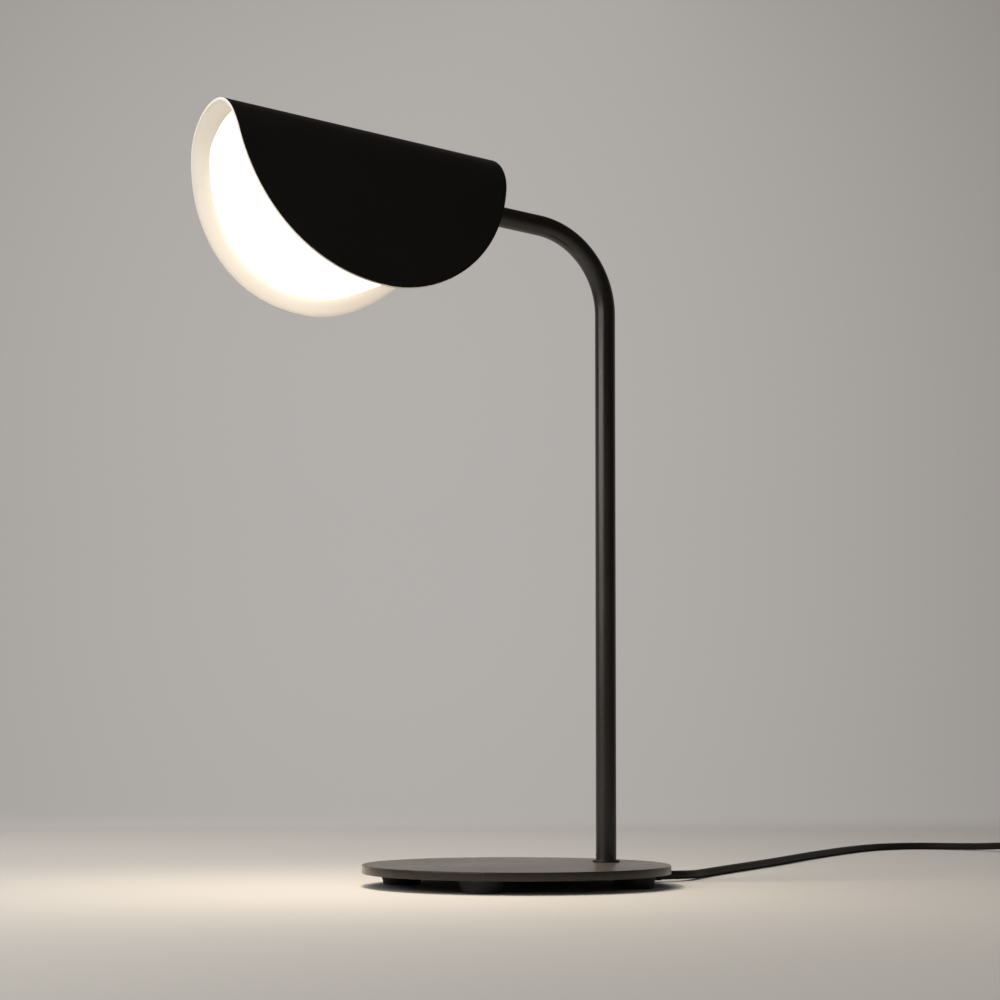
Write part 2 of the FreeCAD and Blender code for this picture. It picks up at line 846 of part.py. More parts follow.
def build_carrier():
    body = new_body("carrier")
    half = s.carrier_width / 2
    inner = half - s.carrier_wall
    lip = half - s.carrier_lip_width
    channel = sketch_on(body, "carrier_section", "YZ_Plane", -s.carrier_front)
    polygon(channel, mirrored_spots([
        (half, s.carrier_top), (half, s.carrier_lip_level), (lip, s.carrier_lip_level),
        (lip, lip_top), (inner, lip_top), (inner, web_under)]))
    pad(body, channel, s.carrier_front + plate_front)
    plate = sketch_on(body, "end_plate", "YZ_Plane", plate_front)
    rectangle(plate, -half, half, -s.end_plate_drop, s.carrier_top)
    pad(body, plate, s.carrier_wall)
    bore = sketch_on(body, "swivel_hole", "YZ_Plane", plate_rear)
    circle(bore, (none, none), s.swivel_diameter + s.running_clearance * 2)
    pocket(body, bore, s.carrier_wall)
    slot = sketch_on(body, "stop_slot", "XZ_Plane")
    slot_in = s.stop_pin_circle - s.stop_slot_width / 2
    slot_out = s.stop_pin_circle + s.stop_slot_width / 2
    rectangle(slot, plate_front - 1, plate_rear + 1, slot_in, slot_out)
    groove = body.newObject("PartDesign::Groove", "stop_slot_groove")
    groove.Profile = slot
    groove.ReferenceAxis = (slot, ["H_Axis"])
    groove.Midplane = True
    groove.setExpression("Angle", ((s.swivel_travel + s.stop_margin) * 2).formula)
    before = body.Shape.Volume
    doc.recompute()
    if groove.Shape.Volume > before - 1:
        raise RuntimeError("the stop slot cuts nothing")
    top = sketch_on(body, "web_holes", "XY_Plane", s.carrier_top)
    for place in post_spots:
        circle(top, (place, none), s.shade_screw_diameter + s.seat_clearance * 2)
    for place in list(clip_spots.values()) + driver_screw_spots:
        circle(top, (place, none), rivet_hole)
    pocket(body, top, s.carrier_wall)
    low = sketch_on(body, "lip_holes", "XY_Plane", lip_top)
    for spot in board_screw_spots():
        circle(low, spot, rivet_hole)
    pocket(body, low, s.carrier_wall)
    keep(settle(body, head=True), "carrier")


def build_light():
    board_under = s.carrier_lip_level - s.board_thickness
    board = new_body("led_board")
    outline = sketch_on(board, "board_outline", "XY_Plane", board_under)
    half_length = s.board_length / 2
    rectangle(outline, s.board_middle - half_length, s.board_middle + half_length,
              -(s.board_width / 2), s.board_width / 2)
    for spot in board_screw_spots():
        circle(outline, spot, rivet_hole)
    pad(board, outline, s.board_thickness)
    keep(settle(board, head=True), "led_board")
    chips = []
    chip_pitch = (s.board_length / 2 - s.chip_end_inset) / 2.5
    for row in (-1, 1):
        for step in (-2.5, -1.5, -0.5, 0.5, 1.5, 2.5):
            chip = doc.addObject("Part::Box", "led_chip")
            bind(chip, Length=s.chip_size, Width=s.chip_size, Height=s.chip_height)
            chips.append(settle(
                chip, s.board_middle + chip_pitch * step - s.chip_size / 2,
                s.chip_row_spacing / 2 * row - s.chip_size / 2,
                board_under - s.chip_height, head=True))
    group("led_chips", chips)
    screws = []
    for number, (x, y) in enumerate(board_screw_spots(), start=1):
        screws.append(screw(
            f"board_screw_{number}", s.small_screw_diameter, s.small_screw_head,
            s.small_screw_head_height, s.board_thickness + s.small_screw_grip, x, y,
            board_under, head_up=False, head_frame=True))
    group("board_screws", screws)
    driver = new_body("led_driver")
    block = sketch_on(driver, "driver_outline", "XY_Plane", web_under - s.driver_height)
    rectangle(block, s.driver_middle - s.driver_length / 2, s.driver_middle + s.driver_length / 2,
              -(s.driver_width / 2), s.driver_width / 2)
    pad(driver, block, s.driver_height)
    round_edges(driver, lambda m, e: near(e.Length, s.driver_height.value), s.wire_diameter)
    holes = sketch_on(driver, "driver_holes", "XY_Plane", web_under)
    for place in driver_screw_spots:
        circle(holes, (place, none), rivet_hole)
    pocket(driver, holes, s.small_screw_grip + 1)
    keep(settle(driver, head=True), "led_driver")
    screws = []
    for number, place in enumerate(driver_screw_spots, start=1):
        screws.append(screw(
            f"driver_screw_{number}", s.small_screw_diameter, s.small_screw_head,
            s.small_screw_head_height, s.carrier_wall + s.small_screw_grip, place, none,
            s.carrier_top, head_frame=True))
    group("driver_screws", screws)
    rear = s.driver_middle.value + s.driver_length.value / 2
    front = s.driver_middle.value - s.driver_length.value / 2
    level = s.lead_level.value
    supply = [
        (shaft_end.value, 0, 0),
        (shaft_end.value - 6, 0, 0),
        (rear + 5, 0, level),
        (rear, 0, level)]
    settle(pair("driver_leads", supply, s.wire_spacing.value, s.wire_diameter.value),
           head=True)
    feed = [
        (front, 0, level),
        (front - 7, 0, level),
        (front - 13, 0, level - 7),
        (front - 13, 0, s.carrier_lip_level.value)]
    settle(pair("led_leads", feed, s.wire_spacing.value, s.wire_diameter.value), head=True)


# ---- folded shade and diffuser ----

def fold_prism(label, inset):
    # A solid as long as the shade, bounded by the fold's outer surface moved inwards.
    body = new_body(label)
    overrun = as_size(20)
    sketch = sketch_on(body, f"{label}_section", "YZ_Plane", -(s.shade_front + overrun))
    arch = s.fold_radius - inset
    flank = s.flank_radius - inset
    level = s.ridge_lift - s.fold_radius
    sweep_angle = s.shade_depth / s.flank_radius * (180 / math.pi)
    spread = s.flank_radius - s.fold_radius
    low = s.fold_splay - sweep_angle
    joint = (arch * cosine(s.fold_splay), level + arch * sine(s.fold_splay))
    middle = (-spread * cosine(s.fold_splay), level - spread * sine(s.fold_splay))
    end = (middle[0] + flank * cosine(low), middle[1] + flank * sine(low))
    up = Vector(0, 0, 1)
    splay = math.radians(s.fold_splay.value)
    lowest = math.radians(low.value)
    crown = Part.Circle(vector((none, level)), up, arch.value)
    right = Part.Circle(vector(middle), up, flank.value)
    left = Part.Circle(vector((-middle[0], middle[1])), up, flank.value)
    sketch.addGeometry(Part.ArcOfCircle(crown, splay, math.pi - splay))
    sketch.addGeometry(Part.ArcOfCircle(right, lowest, splay))
    sketch.addGeometry(Part.ArcOfCircle(left, math.pi - splay, math.pi - lowest))
    sketch.addGeometry(Part.LineSegment(vector((-end[0], end[1])), vector(end)))
    sketch.addConstraint(Sketcher.Constraint("Coincident", 1, 2, 0, 1))
    sketch.addConstraint(Sketcher.Constraint("Coincident", 0, 2, 2, 1))
    sketch.addConstraint(Sketcher.Constraint("Coincident", 2, 2, 3, 1))
    sketch.addConstraint(Sketcher.Constraint("Coincident", 3, 2, 1, 1))
    hold(sketch, 0, 1, joint)
    hold(sketch, 0, 2, (-joint[0], joint[1]))
    hold(sketch, 1, 1, end)
    hold(sketch, 2, 2, (-end[0], end[1]))
    for geometry, radius in ((0, arch), (1, flank), (2, flank)):
        rule = sketch.addConstraint(Sketcher.Constraint("Radius", geometry, radius.value))
        sketch.renameConstraint(rule, f"r{geometry}")
        sketch.setExpression(f"Constraints.r{geometry}", radius.formula)
    pad(body, sketch, s.shade_front + s.shade_rear + overrun * 2)
    return body


def outline_spots(inset):
    # Spots down the front edge, across the lowest point and up the rear edge, moved inwards.
    steps = 13
    spots = []
    sides = [(-1, s.shade_front.value, s.front_fullness.value,
              s.front_depth_fullness.value, range(steps + 1)),
             (1, s.shade_rear.value, s.rear_fullness.value,
              s.rear_depth_fullness.value, range(steps - 1, -1, -1))]
    depth = s.shade_depth.value
    for way, reach, power, fullness, numbers in sides:
        for number in numbers:
            angle = math.pi / 2 * number / steps
            along = max(math.cos(angle), 0) ** (2 / power)
            down = math.sin(angle) ** (2 / fullness)
            if number == steps:
                along = 0
            slope = Vector(power / reach * along ** (power - 1),
                           fullness / depth * down ** (fullness - 1), 0)
            slope.normalize()
            x = way * (reach * along - inset * slope.x)
            z = s.ridge_lift.value - depth * down + inset * slope.y
            spots.append(Vector(x, 0, z))
    return spots


def outline_prism(label, inset):
    # The side outline as a solid that reaches past the shade on both sides.
    spots = outline_spots(inset)
    half = 2 * s.fold_radius.value + s.shade_depth.value / 2
    curve = Part.BSplineCurve()
    curve.interpolate(Points=spots, InitialTangent=Vector(0, 0, -1),
                      FinalTangent=Vector(0, 0, 1))
    lift = Vector(0, 0, s.fold_radius.value / 2)
    closing = Part.makePolygon([spots[-1], spots[-1] + lift, spots[0] + lift, spots[0]])
    face = Part.Face(Part.Wire([curve.toShape()] + closing.Edges))
    face.translate(Vector(0, -half, 0))
    prism = doc.addObject("Part::Feature", label)
    prism.Shape = face.extrude(Vector(0, 2 * half, 0))
    return prism


def build_shade():
    outside = fold_prism("shade_outside", none)
    inside = fold_prism("shade_inside", s.shade_sheet)
    folded = cut("shade_fold", outside, [inside])
    shade = common("shade", [folded, outline_prism("shade_outline", 0)])
    keep(settle(shade, head=True), "shade")
    posts = []
    screws = []
    inner = s.fold_radius - s.shade_sheet
    level = s.ridge_lift - s.fold_radius
    for number, place in enumerate(post_spots, start=1):
        post = cylinder(place, none, s.carrier_top, s.shade_post_diameter, s.fold_radius)
        reach = s.shade_post_diameter
        arch = cylinder(place - reach, none, level, inner * 2, reach * 2, along="x")
        drill = cylinder(place, none, s.carrier_top - 1, s.shade_screw_diameter
                         + s.running_clearance * 2, s.shade_screw_grip + 2)
        trimmed = common(f"post_{number}_top", [post, arch])
        posts.append(cut(f"post_{number}", trimmed, [drill]))
        screws.append(screw(
            f"shade_screw_{number}", s.shade_screw_diameter, s.shade_screw_head,
            s.small_screw_head_height, s.carrier_wall + s.shade_screw_grip, place, none,
            web_under, head_up=False, head_frame=True))
    both = doc.addObject("Part::Compound", "shade_posts")
    both.Links = posts
    keep(settle(both, head=True), "shade_posts")
    group("shade_screws", screws)


def build_diffuser():
    outer = s.shade_sheet + s.diffuser_gap
    solids = []
    for name, wall in (("outer", none), ("inner", s.diffuser_wall)):
        fold = fold_prism(f"diffuser_{name}", outer + wall)
        outline = outline_prism(f"diffuser_{name}_outline",
                                s.diffuser_inset.value + wall.value)
        front = s.diffuser_front - wall
        length = front + s.diffuser_rear - wall
        deep = s.shade_depth * 2
        ends = box(-front, -s.shade_depth, -deep, length, deep, deep * 2)
        solids.append(common(f"diffuser_{name}_block", [fold, outline, ends]))
    tall = s.fold_radius * 2
    wide = s.fold_radius * 4
    opening_front = s.diffuser_front - s.diffuser_end_band
    opening_length = opening_front + s.diffuser_rear - s.diffuser_end_band
    tools = [solids[1], box(-opening_front, -(wide / 2), s.diffuser_top_level,
                            opening_length, wide, tall)]
    slot_start = s.diffuser_rear - s.diffuser_end_band - 2
    slot_length = s.diffuser_end_band + 4
    tools.append(box(slot_start, -(s.arm_slot_width / 2), none, slot_length,
                     s.arm_slot_width, tall))
    tools.append(cylinder(slot_start, none, none, s.arm_slot_width, slot_length, along="x"))
    for place in clip_spots.values():
        width = s.spring_clip_width + s.assembly_clearance * 2
        tools.append(box(place - width / 2, -(wide / 2), s.clip_slot_top - s.clip_slot_height,
                         width, wide, s.clip_slot_height))
    diffuser = cut("diffuser", solids[0], tools)
    keep(settle(diffuser, head=True), "diffuser")
    build_springs(outer)
    lip_front = s.diffuser_rear - s.diffuser_wall - s.running_clearance
    lip_rear = s.diffuser_rear + s.running_clearance
    bore = s.stem_diameter / 2 + s.assembly_clearance
    neck = s.arm_slot_width / 2 - s.assembly_clearance
    grommet = turned("arm_grommet", [
        (lip_front - s.grommet_lip, bore),
        (lip_front - s.grommet_lip, s.grommet_diameter / 2),
        (lip_front, s.grommet_diameter / 2),
        (lip_front, neck),
        (lip_rear, neck),
        (lip_rear, s.grommet_diameter / 2),
        (lip_rear + s.grommet_lip, s.grommet_diameter / 2),
        (lip_rear + s.grommet_lip, bore)], axis="H_Axis")
    keep(settle(grommet, head=True), "arm_grommet")


def build_springs(outer):
    # Leaf springs across the carrier; their tips carry the diffuser by its four slots.
    sheet = s.spring_clip_sheet
    above = s.clip_slot_top - s.ridge_lift + s.fold_radius
    radius = s.fold_radius - outer
    tip = root(radius * radius - above * above) - s.diffuser_wall / 2
    knee = tip - s.diffuser_wall * 2
    rivets = []
    for name, place in clip_spots.items():
        label = f"diffuser_spring_{name}"
        body = new_body(label)
        strip = sketch_on(body, f"{label}_strip", "YZ_Plane", place)
        polygon(strip, mirrored_spots([
            (s.clip_shoulder, s.carrier_top + sheet),
            (knee + sheet, s.clip_slot_top),
            (tip, s.clip_slot_top),
            (tip, s.clip_slot_top - sheet),
            (knee, s.clip_slot_top - sheet),
            (s.clip_shoulder - sheet / 2, s.carrier_top)]))
        pad(body, strip, s.spring_clip_width, midplane=True)
        hole = sketch_on(body, f"{label}_hole", "XY_Plane", s.carrier_top + sheet)
        circle(hole, (place, none), rivet_hole)
        pocket(body, hole, sheet)
        keep(settle(body, head=True), label)
        thickness = s.carrier_wall + sheet
        shank, head = s.small_screw_diameter / 2, s.small_screw_head / 2
        rivet = turned(f"spring_rivet_{name}", [
            (none, web_under - s.rivet_head_height),
            (head, web_under - s.rivet_head_height),
            (head, web_under),
            (shank, web_under),
            (shank, web_under + thickness),
            (head, web_under + thickness),
            (head, web_under + thickness + s.rivet_head_height),
            (none, web_under + thickness + s.rivet_head_height)])
        rivets.append(settle(rivet, place, head=True))
    group("spring_rivets", rivets)


# ---- cord, switch, coil and plug ----

cord_rest = s.cord_diameter.value / 2 + 0.05
coil_level = s.tie_sheet + s.assembly_clearance + s.cord_diameter / 2
switch_half = s.switch_length / 2
switch_axis = s.switch_height / 2
cord_route = [
    (s.relief_start.value + s.relief_length.value, 0, s.relief_level.value),
    (126, 0, s.relief_level.value),
    (144, 9, 3.4), (165, 30.5, cord_rest), (194, 55, cord_rest),
    (226, 78, cord_rest), (266, 109, cord_rest), (309, 144, cord_rest),
    (356, 186, cord_rest), (406, 227, cord_rest), (462, 271, cord_rest),
    (513, 306, cord_rest), (546, 319, cord_rest), (570, 314, cord_rest),
    (586, 297, cord_rest), (596, 270, 3.6),
    (602, 240, 5.4),
    (s.switch_x.value, 212, switch_axis.value),
    (s.switch_x.value, s.switch_y.value + switch_half.value, switch_axis.value)]
coil_start = s.coil_x.value - s.coil_radius.value
after_route = [
    (s.switch_x.value, s.switch_y.value - switch_half.value, switch_axis.value),
    (s.switch_x.value, 104, switch_axis.value),
    (coil_start, 86, coil_level.value),
    (coil_start, s.coil_y.value, coil_level.value)]
coil_top = coil_level.value + s.coil_pitch.value
tail_route = [
    (s.coil_x.value + s.coil_radius.value, s.coil_y.value, coil_top),
    (s.coil_x.value + s.coil_radius.value, 86, coil_top),
    (683.5, 106, 7),
    (681, 126, 4.4), (s.plug_x.value, 146, s.plug_thickness.value / 2),
    (s.plug_x.value, s.plug_y.value, s.plug_thickness.value / 2)]


def half_turn(centre_x, radius, start_angle, level):
    # Half a loop, counter-clockwise from above.
    spots = []
    for part in (0, 0.5, 1):
        angle = math.radians(start_angle + 180 * part)
        spots.append(Vector(centre_x + radius * math.cos(angle),
                            s.coil_y.value + radius * math.sin(angle), level))
    return Part.Arc(*spots)


def climbing_turn(centre_x, radius, start_angle, low, high):
    # Half a loop that rises smoothly by one layer, as pairs of tangent arcs.
    count = 6
    spots, tangents = [], []
    for step in range(count + 1):
        part = step / count
        angle = math.radians(start_angle + 180 * part)
        rise = part - math.sin(2 * math.pi * part) / (2 * math.pi)
        slope = (high - low) * (1 - math.cos(2 * math.pi * part)) / (math.pi * radius)
        spots.append(Vector(centre_x + radius * math.cos(angle),
                            s.coil_y.value + radius * math.sin(angle),
                            low + (high - low) * rise))
        tangent = Vector(-math.sin(angle), math.cos(angle), slope)
        tangents.append(tangent.normalize())
    curves = []
    for step in range(count):
        curves += two_arcs(spots[step], tangents[step], spots[step + 1], tangents[step + 1])
    return curves


def two_arcs(start, leave, end, arrive):
    chord = end - start
    both = leave + arrive
    bend = 2 * (1 - leave.dot(arrive))
    along = chord.dot(both)
    reach = (-along + math.sqrt(along ** 2 + bend * chord.dot(chord))) / bend
    joint = (start + leave * reach + end - arrive * reach) / 2
    heading = end - arrive * reach - (start + leave * reach)
    heading.normalize()
    return [arc_between(start, leave, joint), arc_between(joint, heading, end)]


def build_coil():
    pitch, radius = s.coil_pitch.value, s.coil_radius.value
    middle, level = s.coil_x.value, coil_level.value
    curves = []
    halves = int(2 * s.coil_turns.value)
    for half in range(halves):
        shift = pitch / 2 if half % 2 else 0
        start = 0 if half % 2 else 180
        curves.append(half_turn(middle + shift, radius - half * pitch / 2, start, level))
    inner = radius - halves * pitch / 2
    curves += climbing_turn(middle, inner, 180, level, level + pitch)
    for half in range(halves):
        shift = 0 if half % 2 else -pitch / 2
        start = 180 if half % 2 else 0
        curves.append(half_turn(middle + shift, inner + (half + 1) * pitch / 2, start,
                                level + pitch))
    solid, length = sweep(curves, s.cord_diameter.value)
    piece = doc.addObject("Part::Feature", "cord_coil")
    piece.Shape = solid
    settle(keep(piece, "cord_coil"))
    print(f"cord_coil: {length:.1f} mm long, least gap to itself "
          f"{coil_gap(curves):.2f} mm")


def coil_gap(curves):
    # Least distance between centre lines half a turn or more apart, less the cord.
    spots = []
    run_length = 0.0
    for curve in curves:
        edge = curve.toShape()
        count = max(int(edge.Length / 1.5), 2)
        for step in range(count):
            part = edge.FirstParameter + (edge.LastParameter - edge.FirstParameter) \
                * step / count
            spots.append((run_length + edge.Length * step / count, edge.valueAt(part)))
        run_length += edge.Length
    least = 1e9
    for first in range(len(spots)):
        for second in range(first + 1, len(spots)):
            if spots[second][0] - spots[first][0] < 60:
                continue
            apart = spots[first][1].distanceToPoint(spots[second][1])
            least = min(least, apart)
    return least - s.cord_diameter.value


def build_tie():
    # A band around the two layers where each has two strands.
    half_width = s.tie_width / 2
    offset = s.coil_pitch / 2 + half_width
    inner_turn = s.coil_radius - s.coil_pitch * 3 / 2
    outer_turn = s.coil_radius - s.coil_pitch / 2
    room = s.cord_diameter / 2 + s.assembly_clearance
    near_side = root(inner_turn * inner_turn - offset * offset) - room
    far_side = outer_turn + room
    low = s.tie_sheet
    high = coil_level + s.coil_pitch + room
    body = new_body("cord_tie")
    band = sketch_on(body, "tie_band", "YZ_Plane")
    rectangle(band, near_side - s.tie_sheet, far_side + s.tie_sheet, none,
              high + s.tie_sheet)
    pad(body, band, s.tie_width, midplane=True)
    round_edges(body, lambda m, e: near(e.Length, s.tie_width.value), s.tie_sheet * 2)
    hollow = sketch_on(body, "tie_hollow", "YZ_Plane")
    rectangle(hollow, near_side, far_side, low, high)
    pocket(body, hollow, s.tie_width, midplane=True)
    keep(settle(body, s.coil_x, s.coil_y), "cord_tie")


def switch_half_body(label, low, high, cavity_low, cavity_high):
    body = new_body(label)
    outline = sketch_on(body, f"{label}_outline", "XY_Plane", low)
    half = s.switch_width / 2
    rectangle(outline, -half, half, -switch_half, switch_half)
    pad(body, outline, high - low)
    round_edges(body, lambda m, e: near(e.Length, (high - low).value)
                and near(abs(m.x), half.value), s.switch_corner)
    cavity = sketch_on(body, f"{label}_cavity", "XY_Plane", cavity_high)
    rectangle(cavity, s.switch_wall - half, half - s.switch_wall,
              -(s.switch_cavity / 2), s.switch_cavity / 2)
    pocket(body, cavity, cavity_high - cavity_low)
    return body


def build_switch():
    split = s.switch_height / 2
    seat = s.foot_recess_depth / 2
    lower = switch_half_body("switch_lower", none, split, s.switch_wall, split)
    ear_inner = s.rocker_width / 2 + s.assembly_clearance
    ear_top = s.switch_height - s.switch_wall - s.assembly_clearance
    ears = sketch_on(lower, "switch_ears", "XY_Plane", s.switch_wall)
    for side in (-1, 1):
        left, right = ear_inner * side, (ear_inner + s.rocker_ear) * side
        if side < 0:
            left, right = right, left
        rectangle(ears, left, right, -s.rocker_pivot_diameter, s.rocker_pivot_diameter)
    pad(lower, ears, ear_top - s.switch_wall)
    bearing = sketch_on(lower, "ear_holes", "YZ_Plane")
    circle(bearing, (none, s.rocker_pivot_level),
           s.rocker_pivot_diameter + s.running_clearance * 2)
    pocket(lower, bearing, s.switch_width - s.switch_wall * 2 - 1, midplane=True)
    heads = sketch_on(lower, "switch_head_recesses", "XY_Plane", seat)
    through = sketch_on(lower, "switch_screw_holes", "XY_Plane", split)
    upper = switch_half_body("switch_upper", split, s.switch_height, split,
                             s.switch_height - s.switch_wall)
    blind = sketch_on(upper, "switch_threads", "XY_Plane", split + s.small_screw_grip + 1)
    for side in (-1, 1):
        spot = (none, s.switch_screw_spacing / 2 * side)
        circle(heads, spot, s.foot_recess_diameter)
        circle(through, spot, pilot)
        circle(blind, spot, pilot)
    pocket(lower, heads)
    pocket(lower, through)
    pocket(upper, blind)
    window = sketch_on(upper, "rocker_window_cut", "XY_Plane", s.switch_height)
    reach = s.rocker_window / 2
    rectangle(window, -ear_inner, ear_inner, -reach, reach)
    pocket(upper, window, s.switch_wall)
    round_edges(upper, lambda m, e: near(m.z, s.switch_height.value)
                and (abs(m.x) > ear_inner.value + 1 or abs(m.y) > reach.value + 1),
                s.base_rounding)
    for body, label in ((lower, "switch_lower"), (upper, "switch_upper")):
        keep(settle(body, s.switch_x, s.switch_y), label)
    screws = []
    for number, side in enumerate((-1, 1), start=1):
        screws.append(screw(
            f"switch_screw_{number}", s.small_screw_diameter, s.small_screw_head,
            s.small_screw_head_height, split - seat + s.small_screw_grip, s.switch_x,
            s.switch_y + s.switch_screw_spacing / 2 * side, seat, head_up=False))
    group("switch_screws", screws)
    contacts = []
    for number, side in enumerate((-1, 1), start=1):
        blade = doc.addObject("Part::Box", f"switch_contact_{number}")
        bind(blade, Length=s.contact_width, Width=s.contact_length, Height=s.contact_height)
        contacts.append(settle(
            blade, s.switch_x - s.contact_width / 2,
            s.switch_y + s.rocker_reach * side - s.contact_length / 2, s.switch_wall))
    group("switch_contacts", contacts)
    rocker = new_body("switch_rocker")
    key = sketch_on(rocker, "rocker_side", "YZ_Plane")
    polygon(key, [
        (-s.rocker_reach, s.rocker_underside),
        (none, -s.rocker_pivot_diameter),
        (s.rocker_reach, s.rocker_underside),
        (s.rocker_reach, s.rocker_end),
        (none, s.rocker_middle),
        (-s.rocker_reach, s.rocker_end)])
    pad(rocker, key, s.rocker_width, midplane=True)
    pins = sketch_on(rocker, "rocker_pins", "YZ_Plane")
    circle(pins, (none, none), s.rocker_pivot_diameter)
    pad(rocker, pins, (ear_inner + s.rocker_ear) * 2, midplane=True)
    rocker.Placement = Placement(Vector(), Rotation(Vector(1, 0, 0), s.rocker_tilt.value))
    rocker.setExpression("Placement.Rotation.Angle", s.rocker_tilt.formula)
    rocker.setExpression("Placement.Base.x", (base_x + s.switch_x).formula)
    rocker.setExpression("Placement.Base.y", s.switch_y.formula)
    rocker.setExpression("Placement.Base.z", s.rocker_pivot_level.formula)
    keep(rocker, "switch_rocker")


def build_plug():
    body = new_body("plug_body")
    half = s.plug_width / 2
    front = s.plug_relief_length + s.plug_depth
    shoulder = s.plug_relief_length + s.plug_shoulder
    outline = sketch_on(body, "plug_outline", "XY_Plane")
    polygon(outline, [
        (-(s.plug_neck / 2), s.plug_relief_length),
        (s.plug_neck / 2, s.plug_relief_length),
        (half, shoulder),
        (half, front),
        (-half, front),
        (-half, shoulder)])
    pad(body, outline, s.plug_thickness, midplane=True)
    thick = s.plug_thickness.value
    round_edges(body, lambda m, e: near(e.Length, thick) and near(m.y, shoulder.value),
                s.plug_neck)
    round_edges(body, lambda m, e: near(e.Length, thick) and near(m.y, front.value),
                s.cord_diameter / 2)
    round_edges(body, lambda m, e: near(abs(m.z), thick / 2) and m.y < front.value - 1e-3,
                s.cord_diameter / 2)
    relief = sketch_on(body, "plug_relief", "XY_Plane")
    polygon(relief, [
        (none, none),
        (s.plug_relief_tip / 2, none),
        (s.plug_relief_diameter / 2, s.plug_relief_length),
        (s.plug_relief_diameter / 2, shoulder),
        (none, shoulder)])
    revolve(body, relief, "V_Axis")
    sockets = sketch_on(body, "pin_sockets", "XZ_Plane", -front)
    for side in (-1, 1):
        circle(sockets, (s.pin_spacing / 2 * side, none),
               s.pin_diameter + s.running_clearance * 2)
    pocket(body, sockets, s.cord_diameter, reversed_=True)
    keep(settle(body, s.plug_x, s.plug_y, s.plug_thickness / 2), "plug_body")
    pins = []
    for number, side in enumerate((-1, 1), start=1):
        pin = turned(f"plug_pin_{number}", [
            (none, none),
            (s.pin_diameter / 2, none),
            (s.pin_diameter / 2, s.pin_length + s.cord_diameter),
            (none, s.pin_length + s.cord_diameter)])
        tip = s.pin_length.value + s.cord_diameter.value
        round_edges(pin, lambda m, e: near(m.z, tip), s.pin_diameter / 5)
        pin.Placement = Placement(Vector(), Rotation(Vector(1, 0, 0), -90))
        x = s.plug_x + s.pin_spacing / 2 * side
        y = s.plug_y + front - s.cord_diameter
        pin.setExpression("Placement.Base.x", (base_x + x).formula)
        pin.setExpression("Placement.Base.y", y.formula)
        pin.setExpression("Placement.Base.z", (s.plug_thickness / 2).formula)
        pins.append(pin)
    group("plug_pins", pins)


def build_cords():
    for label, route in (("cord_from_base", cord_route), ("cord_after_switch", after_route),
                         ("cord_tail", tail_route)):
        settle(run(label, route, s.cord_diameter.value))


base_plate()
build_feet()
build_stem()
build_stem_fixings()
build_cord_entry()
build_swivel()
build_carrier()
build_light()
build_shade()
build_diffuser()
build_cords()
build_coil()
build_tie()
build_switch()
build_plug()
doc.recompute()

# Every feature must be sound before anything is written.
for thing in doc.Objects:
    if "Invalid" in thing.State or "Error" in thing.State:
        raise RuntimeError(f"{thing.Name} is {thing.State}")
os.makedirs("parts", exist_ok=True)
for piece in pieces:
    shape = piece.Shape
    if shape.isNull() or not shape.isValid() or shape.Volume <= 0:
        raise RuntimeError(f"{piece.Label} has no sound shape")
    shape.exportStep(f"parts/{piece.Label}.step")
box_all = Part.makeCompound([p.Shape for p in pieces]).BoundBox
print(f"{len(pieces)} pieces, box {box_all}")
print(f"base_x {base_x.value:.3f} head {head_x.value:.3f} {head_z.value:.3f} tip {tip_x.value:.3f}")
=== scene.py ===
import bmesh
import bpy
import math
from mathutils import Matrix, Vector


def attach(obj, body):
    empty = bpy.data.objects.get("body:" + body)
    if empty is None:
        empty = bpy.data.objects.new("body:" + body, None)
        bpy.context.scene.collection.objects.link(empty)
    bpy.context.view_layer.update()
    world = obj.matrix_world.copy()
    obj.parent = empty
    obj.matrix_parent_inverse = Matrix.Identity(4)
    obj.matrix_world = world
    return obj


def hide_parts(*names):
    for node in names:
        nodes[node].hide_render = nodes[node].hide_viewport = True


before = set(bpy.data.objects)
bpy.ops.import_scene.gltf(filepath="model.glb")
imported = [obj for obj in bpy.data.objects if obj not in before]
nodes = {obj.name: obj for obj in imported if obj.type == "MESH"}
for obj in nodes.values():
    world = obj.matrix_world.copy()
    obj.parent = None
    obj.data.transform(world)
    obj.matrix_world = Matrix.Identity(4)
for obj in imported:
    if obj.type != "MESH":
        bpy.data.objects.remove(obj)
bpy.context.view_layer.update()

# Where the lamp stands in its own frame: metres, floor at zero, +X to the back.
place = {
    "baseX": 0.057637,
    "stemX": 0.125137,
    "head": (-0.058441, 0.0, 0.44797),
    "armTilt": 5.8,
}
headMatrix = (Matrix.Translation(place["head"])
              @ Matrix.Rotation(math.radians(place["armTilt"]), 4, "Y"))
print("frame loaded")


# ---- camera and lights ----

camera = {
    "spot": (-0.762381, -1.483738, 0.098119),
    "right": (0.878205, -0.478283, 0.001497),
    "up": (-0.044075, -0.077811, 0.995993),
    "back": (-0.47625, -0.874752, -0.089414),
    "lens": 93.545,
    "sensor": 36,
    "shift": (-0.0005, 0.0005),
    "clip": (0.01, 60),
}


def addCamera():
    data = bpy.data.cameras.new("photoCamera")
    data.lens = camera["lens"]
    data.sensor_width = camera["sensor"]
    data.sensor_fit = "HORIZONTAL"
    data.shift_x, data.shift_y = camera["shift"]
    data.clip_start, data.clip_end = camera["clip"]
    obj = bpy.data.objects.new("photoCamera", data)
    bpy.context.scene.collection.objects.link(obj)
    turn = Matrix((camera["right"], camera["up"], camera["back"])).transposed()
    obj.matrix_world = Matrix.Translation(camera["spot"]) @ turn.to_4x4()
    bpy.context.scene.camera = obj


